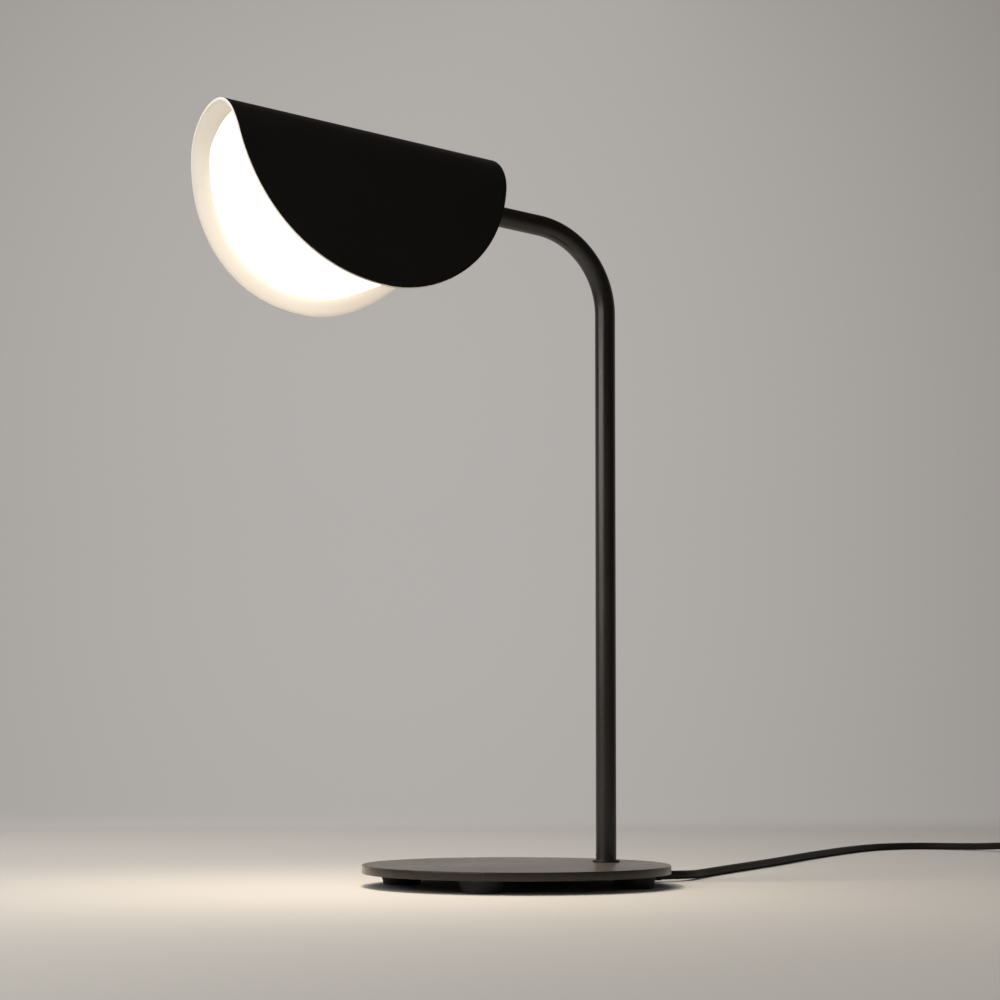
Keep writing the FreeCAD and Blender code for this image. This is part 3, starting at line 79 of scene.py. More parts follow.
# Spot, what it faces, width and height, watts, colour, and whether coats mirror it.
lamps = {
    "leftLight": ((-1.25, -0.2, 0.72), (0.125, 0.0, 0.55), (1.4, 0.75), 13.0,
                  (1.0, 0.985, 0.965), True),
    "topLight": ((-0.5, 0.3, 1.9), (-0.3, 0.35, 0.0), (1.8, 1.8), 31.0,
                 (1.0, 0.965, 0.93), False),
    "farLight": ((0.2, 0.85, 1.0), (0.2, 0.85, 0.0), (1.3, 0.6), 6.0,
                 (1.0, 0.965, 0.93), False),
    "frontLight": ((-0.35, -2.3, 1.1), (0.0, 0.0, 0.25), (1.2, 1.2), 9.0,
                   (1.0, 0.985, 0.965), False),
    "shadeLight": ((-0.055, 0.0, 0.335), (-0.055, -0.02, 0.0), (0.09, 0.09), 1.4,
                   (1.0, 0.85, 0.67), False),
}


def addLamp(name, spot, target, size, watts, colour, mirrored):
    data = bpy.data.lights.new(name, "AREA")
    data.shape = "RECTANGLE"
    data.size, data.size_y = size
    data.energy = watts
    data.color = colour
    obj = bpy.data.objects.new(name, data)
    bpy.context.scene.collection.objects.link(obj)
    obj.location = spot
    away = Vector(target) - Vector(spot)
    obj.rotation_euler = away.to_track_quat("-Z", "Y").to_euler()
    obj.visible_camera = False
    obj.visible_glossy = mirrored


addCamera()
for lampName, facts in lamps.items():
    addLamp(lampName, *facts)
print("camera and lights set")


# ---- shader node helpers ----

def newMaterial(name):
    material = bpy.data.materials.new(name)
    material.use_nodes = True
    tree = material.node_tree
    tree.nodes.clear()
    output = tree.nodes.new("ShaderNodeOutputMaterial")
    shader = tree.nodes.new("ShaderNodeBsdfPrincipled")
    tree.links.new(shader.outputs[0], output.inputs["Surface"])
    return material, tree, shader


def newGroup(name, inputs, outputs):
    group = bpy.data.node_groups.new(name, "ShaderNodeTree")
    for socketName, kind, value in inputs:
        socket = group.interface.new_socket(socketName, in_out="INPUT", socket_type=kind)
        socket.default_value = value
    for socketName, kind in outputs:
        group.interface.new_socket(socketName, in_out="OUTPUT", socket_type=kind)
    start = group.nodes.new("NodeGroupInput")
    end = group.nodes.new("NodeGroupOutput")
    return group, start, end


def feed(tree, value, socket):
    # Links another node's socket, or sets a plain value.
    if isinstance(value, bpy.types.NodeSocket):
        tree.links.new(value, socket)
    else:
        socket.default_value = value


def noise(tree, vector, scale, detail, roughness):
    node = tree.nodes.new("ShaderNodeTexNoise")
    for socketName, value in (("Vector", vector), ("Scale", scale), ("Detail", detail),
                              ("Roughness", roughness)):
        feed(tree, value, node.inputs[socketName])
    return node.outputs["Fac"]


def mapped(tree, value, fromLow, fromHigh, low=0.0, high=1.0, interpolation="LINEAR"):
    node = tree.nodes.new("ShaderNodeMapRange")
    node.interpolation_type = interpolation
    for socketName, size in (("Value", value), ("From Min", fromLow), ("From Max", fromHigh),
                             ("To Min", low), ("To Max", high)):
        feed(tree, size, node.inputs[socketName])
    return node.outputs["Result"]


def smoothRamp(tree, value, low, high):
    return mapped(tree, value, low, high, interpolation="SMOOTHSTEP")


def mixed(tree, factor, first, second):
    node = tree.nodes.new("ShaderNodeMix")
    node.data_type = "RGBA"
    feed(tree, factor, node.inputs["Factor"])
    for socketName, value in (("A", first), ("B", second)):
        colour = (*value, 1) if isinstance(value, tuple) else value
        feed(tree, colour, node.inputs[socketName])
    return node.outputs["Result"]


def scaledColour(tree, colour, factor):
    node = tree.nodes.new("ShaderNodeVectorMath")
    node.operation = "SCALE"
    feed(tree, colour, node.inputs[0])
    feed(tree, factor, node.inputs["Scale"])
    return node.outputs[0]


def mathNode(tree, operation, first, second):
    node = tree.nodes.new("ShaderNodeMath")
    node.operation = operation
    feed(tree, first, node.inputs[0])
    feed(tree, second, node.inputs[1])
    return node.outputs[0]


# Slow clouds of tone and gloss, specks of dust, and the fine grain of the surface.
grain = {
    "slowScale": 14.0, "slowDetail": 4.0, "slowRoughness": 0.5, "slowLow": 0.3,
    "slowHigh": 0.7, "speckScale": 190.0, "speckDetail": 5.0, "speckRoughness": 0.7,
    "speckLow": 0.56, "speckHigh": 0.74, "fineDetail": 2.0, "fineRoughness": 0.6,
    "bump": 0.0002,
}


def makeFinishGroup():
    # Fine grain, slow cloudiness and a little dust, for coats, plastics and metals alike.
    group, start, end = newGroup("surfaceFinish", [
        ("Color", "NodeSocketColor", (0.5, 0.5, 0.5, 1)),
        ("Dust Color", "NodeSocketColor", (0.3, 0.28, 0.25, 1)),
        ("Dust", "NodeSocketFloat", 0.0),
        ("Cloud", "NodeSocketFloat", 0.05),
        ("Roughness", "NodeSocketFloat", 0.5),
        ("Roughness Swing", "NodeSocketFloat", 0.05),
        ("Grain Scale", "NodeSocketFloat", 900.0),
        ("Grain Height", "NodeSocketFloat", 0.1),
    ], [("Color", "NodeSocketColor"), ("Roughness", "NodeSocketFloat"),
        ("Normal", "NodeSocketVector")])
    coords = group.nodes.new("ShaderNodeTexCoord").outputs["Object"]
    given = start.outputs
    slow = noise(group, coords, grain["slowScale"], grain["slowDetail"],
                 grain["slowRoughness"])

    def swung(low, high):
        return mapped(group, slow, grain["slowLow"], grain["slowHigh"], low, high)

    darker = mathNode(group, "SUBTRACT", 1.0, given["Cloud"])
    lighter = mathNode(group, "ADD", 1.0, given["Cloud"])
    toned = scaledColour(group, given["Color"], swung(darker, lighter))
    specks = noise(group, coords, grain["speckScale"], grain["speckDetail"],
                   grain["speckRoughness"])
    dusty = mapped(group, specks, grain["speckLow"], grain["speckHigh"])
    amount = mathNode(group, "MULTIPLY", dusty, given["Dust"])
    feed(group, mixed(group, amount, toned, given["Dust Color"]), end.inputs["Color"])
    smoother = mathNode(group, "SUBTRACT", given["Roughness"], given["Roughness Swing"])
    rougher = mathNode(group, "ADD", given["Roughness"], given["Roughness Swing"])
    feed(group, swung(smoother, rougher), end.inputs["Roughness"])
    bump = group.nodes.new("ShaderNodeBump")
    bump.inputs["Distance"].default_value = grain["bump"]
    feed(group, given["Grain Height"], bump.inputs["Strength"])
    feed(group, noise(group, coords, given["Grain Scale"], grain["fineDetail"],
                      grain["fineRoughness"]), bump.inputs["Height"])
    feed(group, bump.outputs["Normal"], end.inputs["Normal"])
    return group


finishGroup = makeFinishGroup()


def finishMaterial(name, colour, roughness, metallic=0.0, swing=0.05, cloud=0.06,
                   grainScale=900.0, grainHeight=0.12, dust=0.0, **sockets):
    # A Principled material whose colour, roughness and normal come from the finish group.
    material, tree, shader = newMaterial(name)
    group = tree.nodes.new("ShaderNodeGroup")
    group.node_tree = finishGroup
    values = {
        "Color": (*colour, 1), "Dust": dust, "Cloud": cloud, "Roughness": roughness,
        "Roughness Swing": swing, "Grain Scale": grainScale, "Grain Height": grainHeight,
    }
    for socketName, value in values.items():
        group.inputs[socketName].default_value = value
    for outName, inName in (("Color", "Base Color"), ("Roughness", "Roughness"),
                            ("Normal", "Normal")):
        feed(tree, group.outputs[outName], shader.inputs[inName])
    shader.inputs["Metallic"].default_value = metallic
    for socketName, value in sockets.items():
        shader.inputs[socketName.replace("_", " ")].default_value = value
    return material


finishes = {
    "powderBlack": dict(colour=(0.009, 0.0072, 0.0056), roughness=0.3, swing=0.04, cloud=0.08,
                        grainScale=1500.0, grainHeight=0.25, dust=0.01,
                        Specular_IOR_Level=0.6),
    "plateBlack": dict(colour=(0.019, 0.0155, 0.0125), roughness=0.28, swing=0.04, cloud=0.06,
                       grainScale=1500.0, grainHeight=0.25, dust=0.02,
                       Specular_IOR_Level=0.35, Sheen_Weight=0.3, Sheen_Roughness=0.3,
                       Sheen_Tint=(1.0, 0.83, 0.68, 1.0)),
    "shadeBlack": dict(colour=(0.0036, 0.0033, 0.0027), roughness=0.55, swing=0.04,
                       cloud=0.08, grainScale=1500.0, grainHeight=0.2,
                       Specular_IOR_Level=0.4),
    "shadeCream": dict(colour=(0.8, 0.76, 0.7), roughness=0.45, swing=0.03, cloud=0.015,
                       grainScale=1300.0, grainHeight=0.12),
    "footRubber": dict(colour=(0.012, 0.012, 0.012), roughness=0.7, swing=0.08, cloud=0.15,
                       grainScale=700.0, grainHeight=0.3, dust=0.12),
    "cordSheath": dict(colour=(0.008, 0.0063, 0.0048), roughness=0.6, swing=0.05, cloud=0.1,
                       grainScale=1200.0, grainHeight=0.15,
                       Specular_IOR_Level=0.2),
    "switchPlastic": dict(colour=(0.013, 0.013, 0.013), roughness=0.38, swing=0.05,
                          cloud=0.08, grainScale=1000.0, grainHeight=0.3, dust=0.03),
    "zincSteel": dict(colour=(0.62, 0.62, 0.6), roughness=0.34, metallic=1.0, swing=0.08,
                      cloud=0.1, grainScale=500.0, grainHeight=0.08),
    "millAluminium": dict(colour=(0.75, 0.75, 0.76), roughness=0.4, metallic=1.0, swing=0.06,
                          cloud=0.05, grainScale=400.0, grainHeight=0.08),
    "pinNickel": dict(colour=(0.72, 0.7, 0.66), roughness=0.2, metallic=1.0, swing=0.05,
                      cloud=0.05, grainScale=300.0, grainHeight=0.03),
    "contactBrass": dict(colour=(0.72, 0.53, 0.22), roughness=0.3, metallic=1.0, swing=0.08,
                         cloud=0.08, grainScale=300.0, grainHeight=0.05),
    "wireCover": dict(colour=(0.7, 0.7, 0.68), roughness=0.4, swing=0.04, cloud=0.04,
                      grainScale=800.0, grainHeight=0.08),
    "washerNylon": dict(colour=(0.82, 0.8, 0.74), roughness=0.5, swing=0.05, cloud=0.04,
                        grainScale=600.0, grainHeight=0.1),
    "boardWhite": dict(colour=(0.85, 0.85, 0.84), roughness=0.3, swing=0.04, cloud=0.03,
                       grainScale=600.0, grainHeight=0.08),
    "driverWhite": dict(colour=(0.8, 0.8, 0.78), roughness=0.45, swing=0.05, cloud=0.03,
                        grainScale=700.0, grainHeight=0.2),
    "litOpal": dict(colour=(0.9, 0.88, 0.84), roughness=0.35, swing=0.03, cloud=0.01,
                    grainScale=700.0, grainHeight=0.05,
                    Emission_Color=(1.0, 0.91, 0.79, 1.0)),
    "ledLight": dict(colour=(0.95, 0.85, 0.45), roughness=0.3, swing=0.03, cloud=0.02,
                     grainScale=900.0, grainHeight=0.05,
                     Emission_Color=(1.0, 0.88, 0.7, 1.0), Emission_Strength=3.0),
}
materials = {name: finishMaterial(name, **facts) for name, facts in finishes.items()}

opal = {"low": 0.38, "high": 0.475, "lowGlow": 2.3, "highGlow": 0.4}


def lightOpal():
    # The milky diffuser glows most at its lower edge.
    tree = materials["litOpal"].node_tree
    split = tree.nodes.new("ShaderNodeSeparateXYZ")
    feed(tree, tree.nodes.new("ShaderNodeTexCoord").outputs["Object"], split.inputs[0])
    glow = mapped(tree, split.outputs["Z"], opal["low"], opal["high"],
                  opal["lowGlow"], opal["highGlow"])
    feed(tree, glow, tree.nodes["Principled BSDF"].inputs["Emission Strength"])


lightOpal()
print("materials made")


# ---- modelling helpers ----

tiny = 1e-4      # shorter than any real step in a piece
closed = 0.00002  # radius of a ring that closes a round piece at its axis


def leaveEdit():
    if bpy.context.mode != "OBJECT":
        bpy.ops.object.mode_set(mode="OBJECT")
    bpy.ops.object.select_all(action="DESELECT")


def only(obj):
    leaveEdit()
    obj.select_set(True)
    bpy.context.view_layer.objects.active = obj


def edit(obj, kind="VERT"):
    only(obj)
    bpy.ops.object.mode_set(mode="EDIT")
    bpy.ops.mesh.select_mode(type=kind)


def middle(item):
    # The mean of an edge's or face's corners, or a vertex's own spot.
    if isinstance(item, bmesh.types.BMVert):
        return item.co
    return sum((v.co for v in item.verts), Vector()) / len(item.verts)


def pick(obj, test, kind="VERT"):
    # In edit mode, selects the vertices, edges or faces whose middle passes the test.
    bpy.ops.mesh.select_mode(type=kind)
    bpy.ops.mesh.select_all(action="DESELECT")
    mesh = bmesh.from_edit_mesh(obj.data)
    items = {"VERT": mesh.verts, "EDGE": mesh.edges, "FACE": mesh.faces}[kind]
    chosen = [item for item in items if test(middle(item), item)]
    for item in chosen:
        item.select_set(True)
    bmesh.update_edit_mesh(obj.data)
    if not chosen:
        raise ValueError(f"nothing picked on {obj.name}")


def span(edge, axis):
    # How far an edge reaches along x, y or z.
    return abs(edge.verts[0].co[axis] - edge.verts[1].co[axis])


def modify(obj, kind, **settings):
    # Adds a modifier with these settings and applies it.
    only(obj)
    modifier = obj.modifiers.new(kind.lower(), kind)
    for name, value in settings.items():
        setattr(modifier, name, value)
    bpy.ops.object.modifier_apply(modifier=modifier.name)


def roundOff(obj, width, segments=3, angle=30):
    modify(obj, "BEVEL", width=width, segments=segments, limit_method="ANGLE",
           angle_limit=math.radians(angle), harden_normals=False)


def cleanUp(obj, flip=False, gap=1e-6):
    edit(obj)
    bpy.ops.mesh.select_all(action="SELECT")
    bpy.ops.mesh.remove_doubles(threshold=gap)
    bpy.ops.mesh.normals_make_consistent(inside=flip)
    leaveEdit()


def settle(obj, name, matrix=None):
    # Puts a piece's place into its mesh and gives it its name.
    only(obj)
    bpy.ops.object.transform_apply(location=True, rotation=True, scale=True)
    if matrix:
        obj.data.transform(matrix)
    obj.name = name
    obj.data.name = name
    return obj


def dress(obj, body, material, replaced=(), angle=32):
    # Shading, material, body and slot of a finished piece.
    if obj.type == "MESH":
        only(obj)
        bpy.ops.object.shade_smooth_by_angle(angle=math.radians(angle))
    if material:
        obj.data.materials.clear()
        obj.data.materials.append(materials[material])
    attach(obj, body)
    for node in ([replaced] if isinstance(replaced, str) else replaced):
        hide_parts(node)
    leaveEdit()
    return obj


def justAdded():
    # The primitive that was just added, with its place in its mesh.
    bpy.ops.object.transform_apply(location=True, rotation=True, scale=True)
    return bpy.context.object


def addBox(size, centre=(0, 0, 0)):
    leaveEdit()
    bpy.ops.mesh.primitive_cube_add(size=1, location=centre, scale=size)
    return justAdded()


def addCylinder(radius, low, high, x=0.0, y=0.0, segments=48):
    leaveEdit()
    bpy.ops.mesh.primitive_cylinder_add(vertices=segments, radius=radius, depth=high - low,
                                        location=(x, y, (low + high) / 2))
    return justAdded()


def ringStack(name, rings, segments, loop=False):
    # A round piece about Z: a circle is extruded and resized through (radius, height) rings.
    leaveEdit()
    radius, height = rings[0]
    bpy.ops.mesh.primitive_circle_add(vertices=segments, radius=radius,
                                      location=(0, 0, height))
    obj = justAdded()
    edit(obj)
    bpy.ops.mesh.select_all(action="SELECT")
    bpy.ops.mesh.select_mode(type="EDGE")
    for newRadius, newHeight in rings[1:] + ([rings[0]] if loop else []):
        bpy.ops.mesh.extrude_region_move(
            TRANSFORM_OT_translate={"value": (0, 0, newHeight - height)})
        factor = newRadius / radius
        bpy.ops.transform.resize(value=(factor, factor, 1),
                                 center_override=(0, 0, newHeight))
        radius, height = newRadius, newHeight
    obj.name = name
    cleanUp(obj)
    return obj


def cutWith(obj, cutter):
    modify(obj, "BOOLEAN", object=cutter, operation="DIFFERENCE", solver="EXACT")
    bpy.data.objects.remove(cutter)


def copyOf(obj, name, shift=(0, 0, 0)):
    twin = obj.copy()
    twin.data = obj.data.copy()
    bpy.context.scene.collection.objects.link(twin)
    twin.data.transform(Matrix.Translation(shift))
    twin.name = name
    twin.data.name = name
    return twin


def joined(parts, name):
    leaveEdit()
    for part in parts:
        part.select_set(True)
    bpy.context.view_layer.objects.active = parts[0]
    bpy.ops.object.join()
    parts[0].name = name
    parts[0].data.name = name
    return parts[0]


# ---- folded shade ----

shade = {
    "front": 0.1032, "rear": 0.0881, "depth": 0.1107,
    "frontFullness": 2.17, "rearFullness": 1.81,
    "frontDepthFullness": 2.02, "rearDepthFullness": 2.33,
    "foldRadius": 0.0425, "flankRadius": 0.76, "splay": 20.0, "ridge": 0.0344,
    "sheet": 0.002, "edge": 0.00035, "rimPoints": 320, "rings": 44, "samples": 4000,
}


def foldSpot(along):
    # The fold's outer surface at a distance along it from the ridge: depth side and level.
    side = math.copysign(1, along)
    crown = math.radians(90 - shade["splay"])
    reach = abs(along)
    level = shade["ridge"] - shade["foldRadius"]
    if reach <= shade["foldRadius"] * crown:
        angle = reach / shade["foldRadius"]
        return side * shade["foldRadius"] * math.sin(angle), \
            level + shade["foldRadius"] * math.cos(angle)
    spreadOut = shade["flankRadius"] - shade["foldRadius"]
    angle = crown + (reach - shade["foldRadius"] * crown) / shade["flankRadius"]
    y = -spreadOut * math.sin(crown) + shade["flankRadius"] * math.sin(angle)
    z = level - spreadOut * math.cos(crown) + shade["flankRadius"] * math.cos(angle)
    return side * y, z


def foldLength(depth):
    # How far along the fold a given depth under the ridge lies.
    crown = math.radians(90 - shade["splay"])
    radius, flank = shade["foldRadius"], shade["flankRadius"]
    if depth <= radius * (1 - math.cos(crown)):
        return radius * math.acos(1 - depth / radius)
    spreadOut = flank - radius
    cosine = (radius - depth + spreadOut * math.cos(crown)) / flank
    return radius * crown + flank * (math.acos(cosine) - crown)


def outlineSpot(turn):
    # Side outline: a quarter turn from the ridge's front to the lowest point, then back up.
    rear = turn > math.pi / 2
    reach = shade["rear"] if rear else shade["front"]
    power = shade["rearFullness"] if rear else shade["frontFullness"]
    fullness = shade["rearDepthFullness"] if rear else shade["frontDepthFullness"]
    x = reach * max(abs(math.cos(turn)), 1e-9) ** (2 / power) * (1 if rear else -1)
    return x, shade["depth"] * max(math.sin(turn), 0) ** (2 / fullness)


def flatRim(count):
    # Evenly spaced spots around the unrolled sheet: along the arm and along the fold.
    half = []
    for step in range(shade["samples"] + 1):
        x, depth = outlineSpot(math.pi * step / shade["samples"])
        half.append((x, foldLength(depth)))
    lengths = [0.0]
    for first, second in zip(half, half[1:]):
        lengths.append(lengths[-1] + math.dist(first, second))
    spots = []
    index = 0
    for step in range(count // 2 + 1):
        target = lengths[-1] * step / (count // 2)
        while index < len(half) - 2 and lengths[index + 1] < target:
            index += 1
        part = (target - lengths[index]) / max(lengths[index + 1] - lengths[index], 1e-12)
        spots.append(tuple(a + (b - a) * part for a, b in zip(half[index], half[index + 1])))
    return spots + [(x, -s) for x, s in spots[-2:0:-1]]


def makeShade():
    rim = flatRim(shade["rimPoints"])
    leaveEdit()
    bpy.ops.mesh.primitive_circle_add(vertices=len(rim), radius=shade["front"])
    obj = bpy.context.object
    for vertex, (x, along) in zip(obj.data.vertices, rim):
        vertex.co = (x, along, 0)
    edit(obj, "EDGE")
    bpy.ops.mesh.select_all(action="SELECT")
    scale = 1.0
    for ring in range(1, shade["rings"]):
        newScale = 1 - ring / shade["rings"]
        bpy.ops.mesh.extrude_region_move()
        factor = newScale / scale
        bpy.ops.transform.resize(value=(factor, factor, 1), center_override=(0, 0, 0))
        scale = newScale
    bpy.ops.mesh.merge(type="CENTER")
    leaveEdit()
    for vertex in obj.data.vertices:  # the flat blank is folded over the arch
        y, z = foldSpot(vertex.co.y)
        vertex.co = (vertex.co.x, y, z)
    cleanUp(obj)
    outwards = sum(p.normal.z * p.area for p in obj.data.polygons) > 0
    if not outwards:
        obj.data.flip_normals()
    obj.data.materials.append(materials["shadeBlack"])
    obj.data.materials.append(materials["shadeCream"])
    modify(obj, "SOLIDIFY", thickness=shade["sheet"], offset=-1.0, use_even_offset=True,
           material_offset=1, material_offset_rim=1)
    roundOff(obj, shade["edge"], segments=2, angle=50)
    settle(obj, "shadeSheet", headMatrix)
    return dress(obj, "head", None, "shade", angle=40)


makeShade()
print("shade folded")


# ---- stem, collar and base plate ----

stem = {
    "foot": 0.0156, "bendStart": 0.378, "bendRadius": 0.0568, "bendSteps": 36,
    "radius": 0.00675, "wall": 0.00125, "straight": 0.0882, "segments": 56,
}


def makeStem():
    leaveEdit()
    bpy.ops.mesh.primitive_circle_add(vertices=stem["segments"], radius=stem["radius"],
                                      location=(place["stemX"], 0, stem["foot"]))
    obj = justAdded()
    edit(obj, "EDGE")
    bpy.ops.mesh.select_all(action="SELECT")
    bpy.ops.mesh.extrude_region_move(
        TRANSFORM_OT_translate={"value": (0, 0, stem["bendStart"] - stem["foot"])})
    tilt = math.radians(place["armTilt"])
    centre = (place["stemX"] - stem["bendRadius"], 0, stem["bendStart"])
    bpy.ops.mesh.spin(steps=stem["bendSteps"], angle=math.radians(90 - place["armTilt"]),
                      center=centre, axis=(0, 1, 0))
    bpy.ops.mesh.extrude_region_move(TRANSFORM_OT_translate={
        "value": (-stem["straight"] * math.cos(tilt), 0, stem["straight"] * math.sin(tilt))})
    cleanUp(obj)
    modify(obj, "SOLIDIFY", thickness=stem["wall"], offset=-1.0, use_even_offset=True)
    settle(obj, "stemTube")
    return dress(obj, "stand", "powderBlack", "stem_tube")


makeStem()
print("stem bent")

collar = {"radius": 0.009, "bottom": 0.014, "top": 0.0156, "bore": 0.0051, "edge": 0.0005}


def makeCollar():
    obj = ringStack("stemCollar", [
        (collar["bore"], collar["bottom"]), (collar["radius"], collar["bottom"]),
        (collar["radius"], collar["top"]), (collar["bore"], collar["top"])],
        segments=72, loop=True)
    roundOff(obj, collar["edge"], 3)
    settle(obj, "stemCollar", Matrix.Translation((place["stemX"], 0, 0)))
    return dress(obj, "stand", "powderBlack", "stem_collar")


makeCollar()

base = {
    "radius": 0.1, "bottom": 0.0085, "top": 0.014, "edge": 0.0006, "segments": 200,
    "recessRadius": 0.013, "recessTop": 0.0115, "nippleHole": 0.0051, "overrun": 0.002,
}


def makeBasePlate():
    obj = addCylinder(base["radius"], base["bottom"], base["top"], place["baseX"], 0,
                      base["segments"])
    roundOff(obj, base["edge"], 5, 60)
    cutWith(obj, addCylinder(base["recessRadius"], base["bottom"] - base["overrun"],
                             base["recessTop"], place["stemX"], segments=72))
    cutWith(obj, addCylinder(base["nippleHole"], base["recessTop"] - base["overrun"],
                             base["top"] + base["overrun"], place["stemX"]))
    settle(obj, "basePlate")
    return dress(obj, "stand", "plateBlack", "base_plate")


makeBasePlate()
print("base plate made")


# ---- feet and screws ----

foot = {
    "bottomRadius": 0.012, "topRadius": 0.0145, "height": 0.0085, "recess": 0.0035,
    "recessDepth": 0.004, "bore": 0.002, "edge": 0.0009, "circle": 0.078, "angle": 45.0,
    "screw": 0.0075,
}
footSpots = {}
for footName, (along, across) in {"front_left": (-1, -1), "front_right": (-1, 1),
                                  "rear_left": (1, -1), "rear_right": (1, 1)}.items():
    reach = foot["circle"] * math.cos(math.radians(foot["angle"]))
    footSpots[footName] = (place["baseX"] + reach * along, reach * across, 0)


def makeFeet():
    obj = ringStack("foot", [
        (foot["recess"], foot["recessDepth"]), (foot["recess"], 0.0),
        (foot["bottomRadius"], 0.0), (foot["topRadius"], foot["height"]),
        (foot["bore"], foot["height"]), (foot["bore"], foot["recessDepth"])],
        segments=64, loop=True)
    roundOff(obj, foot["edge"], 3, 35)
    for name, spot in footSpots.items():
        camel = "foot" + "".join(word.capitalize() for word in name.split("_"))
        twin = copyOf(obj, camel, spot)
        dress(twin, "stand", "footRubber", f"foot_{name}")
    bpy.data.objects.remove(obj)


makeFeet()

# The profile gives shares of the head's radius and height.
screw = {
    "head": 0.0028, "headHeight": 0.0018, "shank": 0.0015, "taper": 0.0006,
    "cross": 0.0034, "crossWidth": 0.0007, "crossDepth": 0.001,
    "profile": ((1.0, 0.0), (1.0, 0.45), (0.82, 0.85), (0.35, 1.0)),
}


def makeScrew(length):
    # A pan-head screw that points up from z = 0, with its head below.
    rings = [(screw["head"] * wide, -screw["headHeight"] * deep)
             for wide, deep in screw["profile"]]
    head = ringStack("screw", rings + [(closed, -screw["headHeight"])], segments=32)
    shank = ringStack("shank", [(closed, length), (screw["shank"], length - screw["taper"]),
                                (screw["shank"], 0.0), (screw["head"], 0.0)], segments=32)
    obj = joined([head, shank], "screw")
    cleanUp(obj, gap=closed)
    for width, depth in ((screw["cross"], screw["crossWidth"]),
                         (screw["crossWidth"], screw["cross"])):
        cutWith(obj, addBox((width, depth, 2 * screw["crossDepth"]),
                            (0, 0, -screw["headHeight"])))
    return obj


def makeFootScrews():
    model = makeScrew(foot["screw"])
    parts = [copyOf(model, f"footScrews{index}", (x, y, foot["recessDepth"]))
             for index, (x, y, z) in enumerate(footSpots.values())]
    bpy.data.objects.remove(model)
    dress(joined(parts, "footScrews"), "stand", "zincSteel", "foot_screws")


makeFootScrews()
print("feet and screws made")


# ---- cord, with its relief, switch, coil, tie and plug ----

cord = {
    "diameter": 0.0058, "length": 1.85, "reliefEnd": 0.11, "reliefLevel": 0.0043,
    "rest": 0.00295, "coilX": 0.6474, "coilY": 0.068, "coilRadius": 0.0384,
    "coilPitch": 0.0064, "coilLevel": 0.0044, "coilTurns": 2, "turnPoints": 14,
    "switchX": 0.605, "switchY": 0.155, "switchAxis": 0.0065,
    "plugX": 0.679, "plugY": 0.164, "plugAxis": 0.00685, "steps": 8, "sides": 7,
}
rest, axis = cord["rest"], cord["switchAxis"]
# Points from the base's middle: the run that the photograph shows, then on to the switch.
baseRoute = [
    (cord["reliefEnd"], 0, cord["reliefLevel"]), (0.1225, 0, cord["reliefLevel"]),
    (0.1375, 0.0075, 0.0037), (0.159, 0.0275, rest), (0.190, 0.0535, rest),
    (0.224, 0.081, rest), (0.264, 0.113, rest), (0.308, 0.149, rest), (0.356, 0.191, rest),
    (0.406, 0.232, rest), (0.462, 0.276, rest), (0.512, 0.309, rest), (0.546, 0.319, rest),
    (0.570, 0.314, rest), (0.586, 0.297, rest), (0.596, 0.270, 0.0036),
    (0.602, 0.240, 0.0054), (cord["switchX"], 0.212, axis), (cord["switchX"], 0.188, axis),
]
switchRoute = [(cord["switchX"], 0.122, axis), (cord["switchX"], 0.104, axis),
               (0.609, 0.086, cord["coilLevel"])]
tailRoute = [(0.6858, 0.086, 0.0108), (0.6835, 0.106, 0.007), (0.681, 0.126, 0.0044),
             (cord["plugX"], 0.146, cord["plugAxis"]),
             (cord["plugX"], cord["plugY"], cord["plugAxis"])]


def coilRoute():
    # Two turns inwards on the floor, a climbing half turn, and two turns outwards on top.
    pitch, radius = cord["coilPitch"], cord["coilRadius"]
    halves = 2 * cord["coilTurns"]
    level = cord["coilLevel"]
    loops = []
    for half in range(halves):
        loops.append((pitch / 2 if half % 2 else 0, radius - half * pitch / 2,
                      0 if half % 2 else 180, level, level))
    inner = radius - halves * pitch / 2
    loops.append((0, inner, 180, level, level + pitch))
    for half in range(halves):
        loops.append((0 if half % 2 else -pitch / 2, inner + (half + 1) * pitch / 2,
                      180 if half % 2 else 0, level + pitch, level + pitch))
    steps = cord["turnPoints"] // 2
    bulge = 1 / (0.75 + 0.25 * math.cos(math.pi / steps))
    points = []
    for shift, size, start, low, high in loops:
        for step in range(steps):
            part = (step + 0.5) / steps
            angle = math.radians(start + 180 * part)
            rise = part - math.sin(2 * math.pi * part) / (2 * math.pi)
            points.append((cord["coilX"] + shift + size * bulge * math.cos(angle),
                           cord["coilY"] + size * bulge * math.sin(angle),
                           low + (high - low) * rise))
    return points


def makeCord():
    points = baseRoute + switchRoute + coilRoute() + tailRoute
    curve = bpy.data.curves.new("mainsCord", "CURVE")
    curve.dimensions = "3D"
    spline = curve.splines.new("NURBS")
    spline.points.add(len(points) - 1)
    for point, (x, y, z) in zip(spline.points, points):
        point.co = (x + place["baseX"], y, z, 1)
    spline.order_u = 3
    spline.use_endpoint_u = True
    spline.resolution_u = cord["steps"]
    curve.bevel_depth = cord["diameter"] / 2
    curve.bevel_resolution = cord["sides"]
    curve.use_fill_caps = True
    obj = bpy.data.objects.new("mainsCord", curve)
    bpy.context.scene.collection.objects.link(obj)
    return dress(obj, "stand", "cordSheath",
                 ("cord_from_base", "cord_after_switch", "cord_coil", "cord_tail"))


mainsCord = makeCord()

# A groove starts, leaves its flat bottom and closes at these shares of a pitch.
relief = {
    "start": 0.08, "neck": 0.0815, "shoulder": 0.0875, "end": 0.11, "big": 0.0039,
    "small": 0.0026, "tip": 0.0033, "ribs": 6, "ribStart": 0.0925, "ribEnd": 0.1075,
    "groove": 0.0004, "grooveShape": (0.2, 0.45, 0.65), "edge": 0.00015,
}


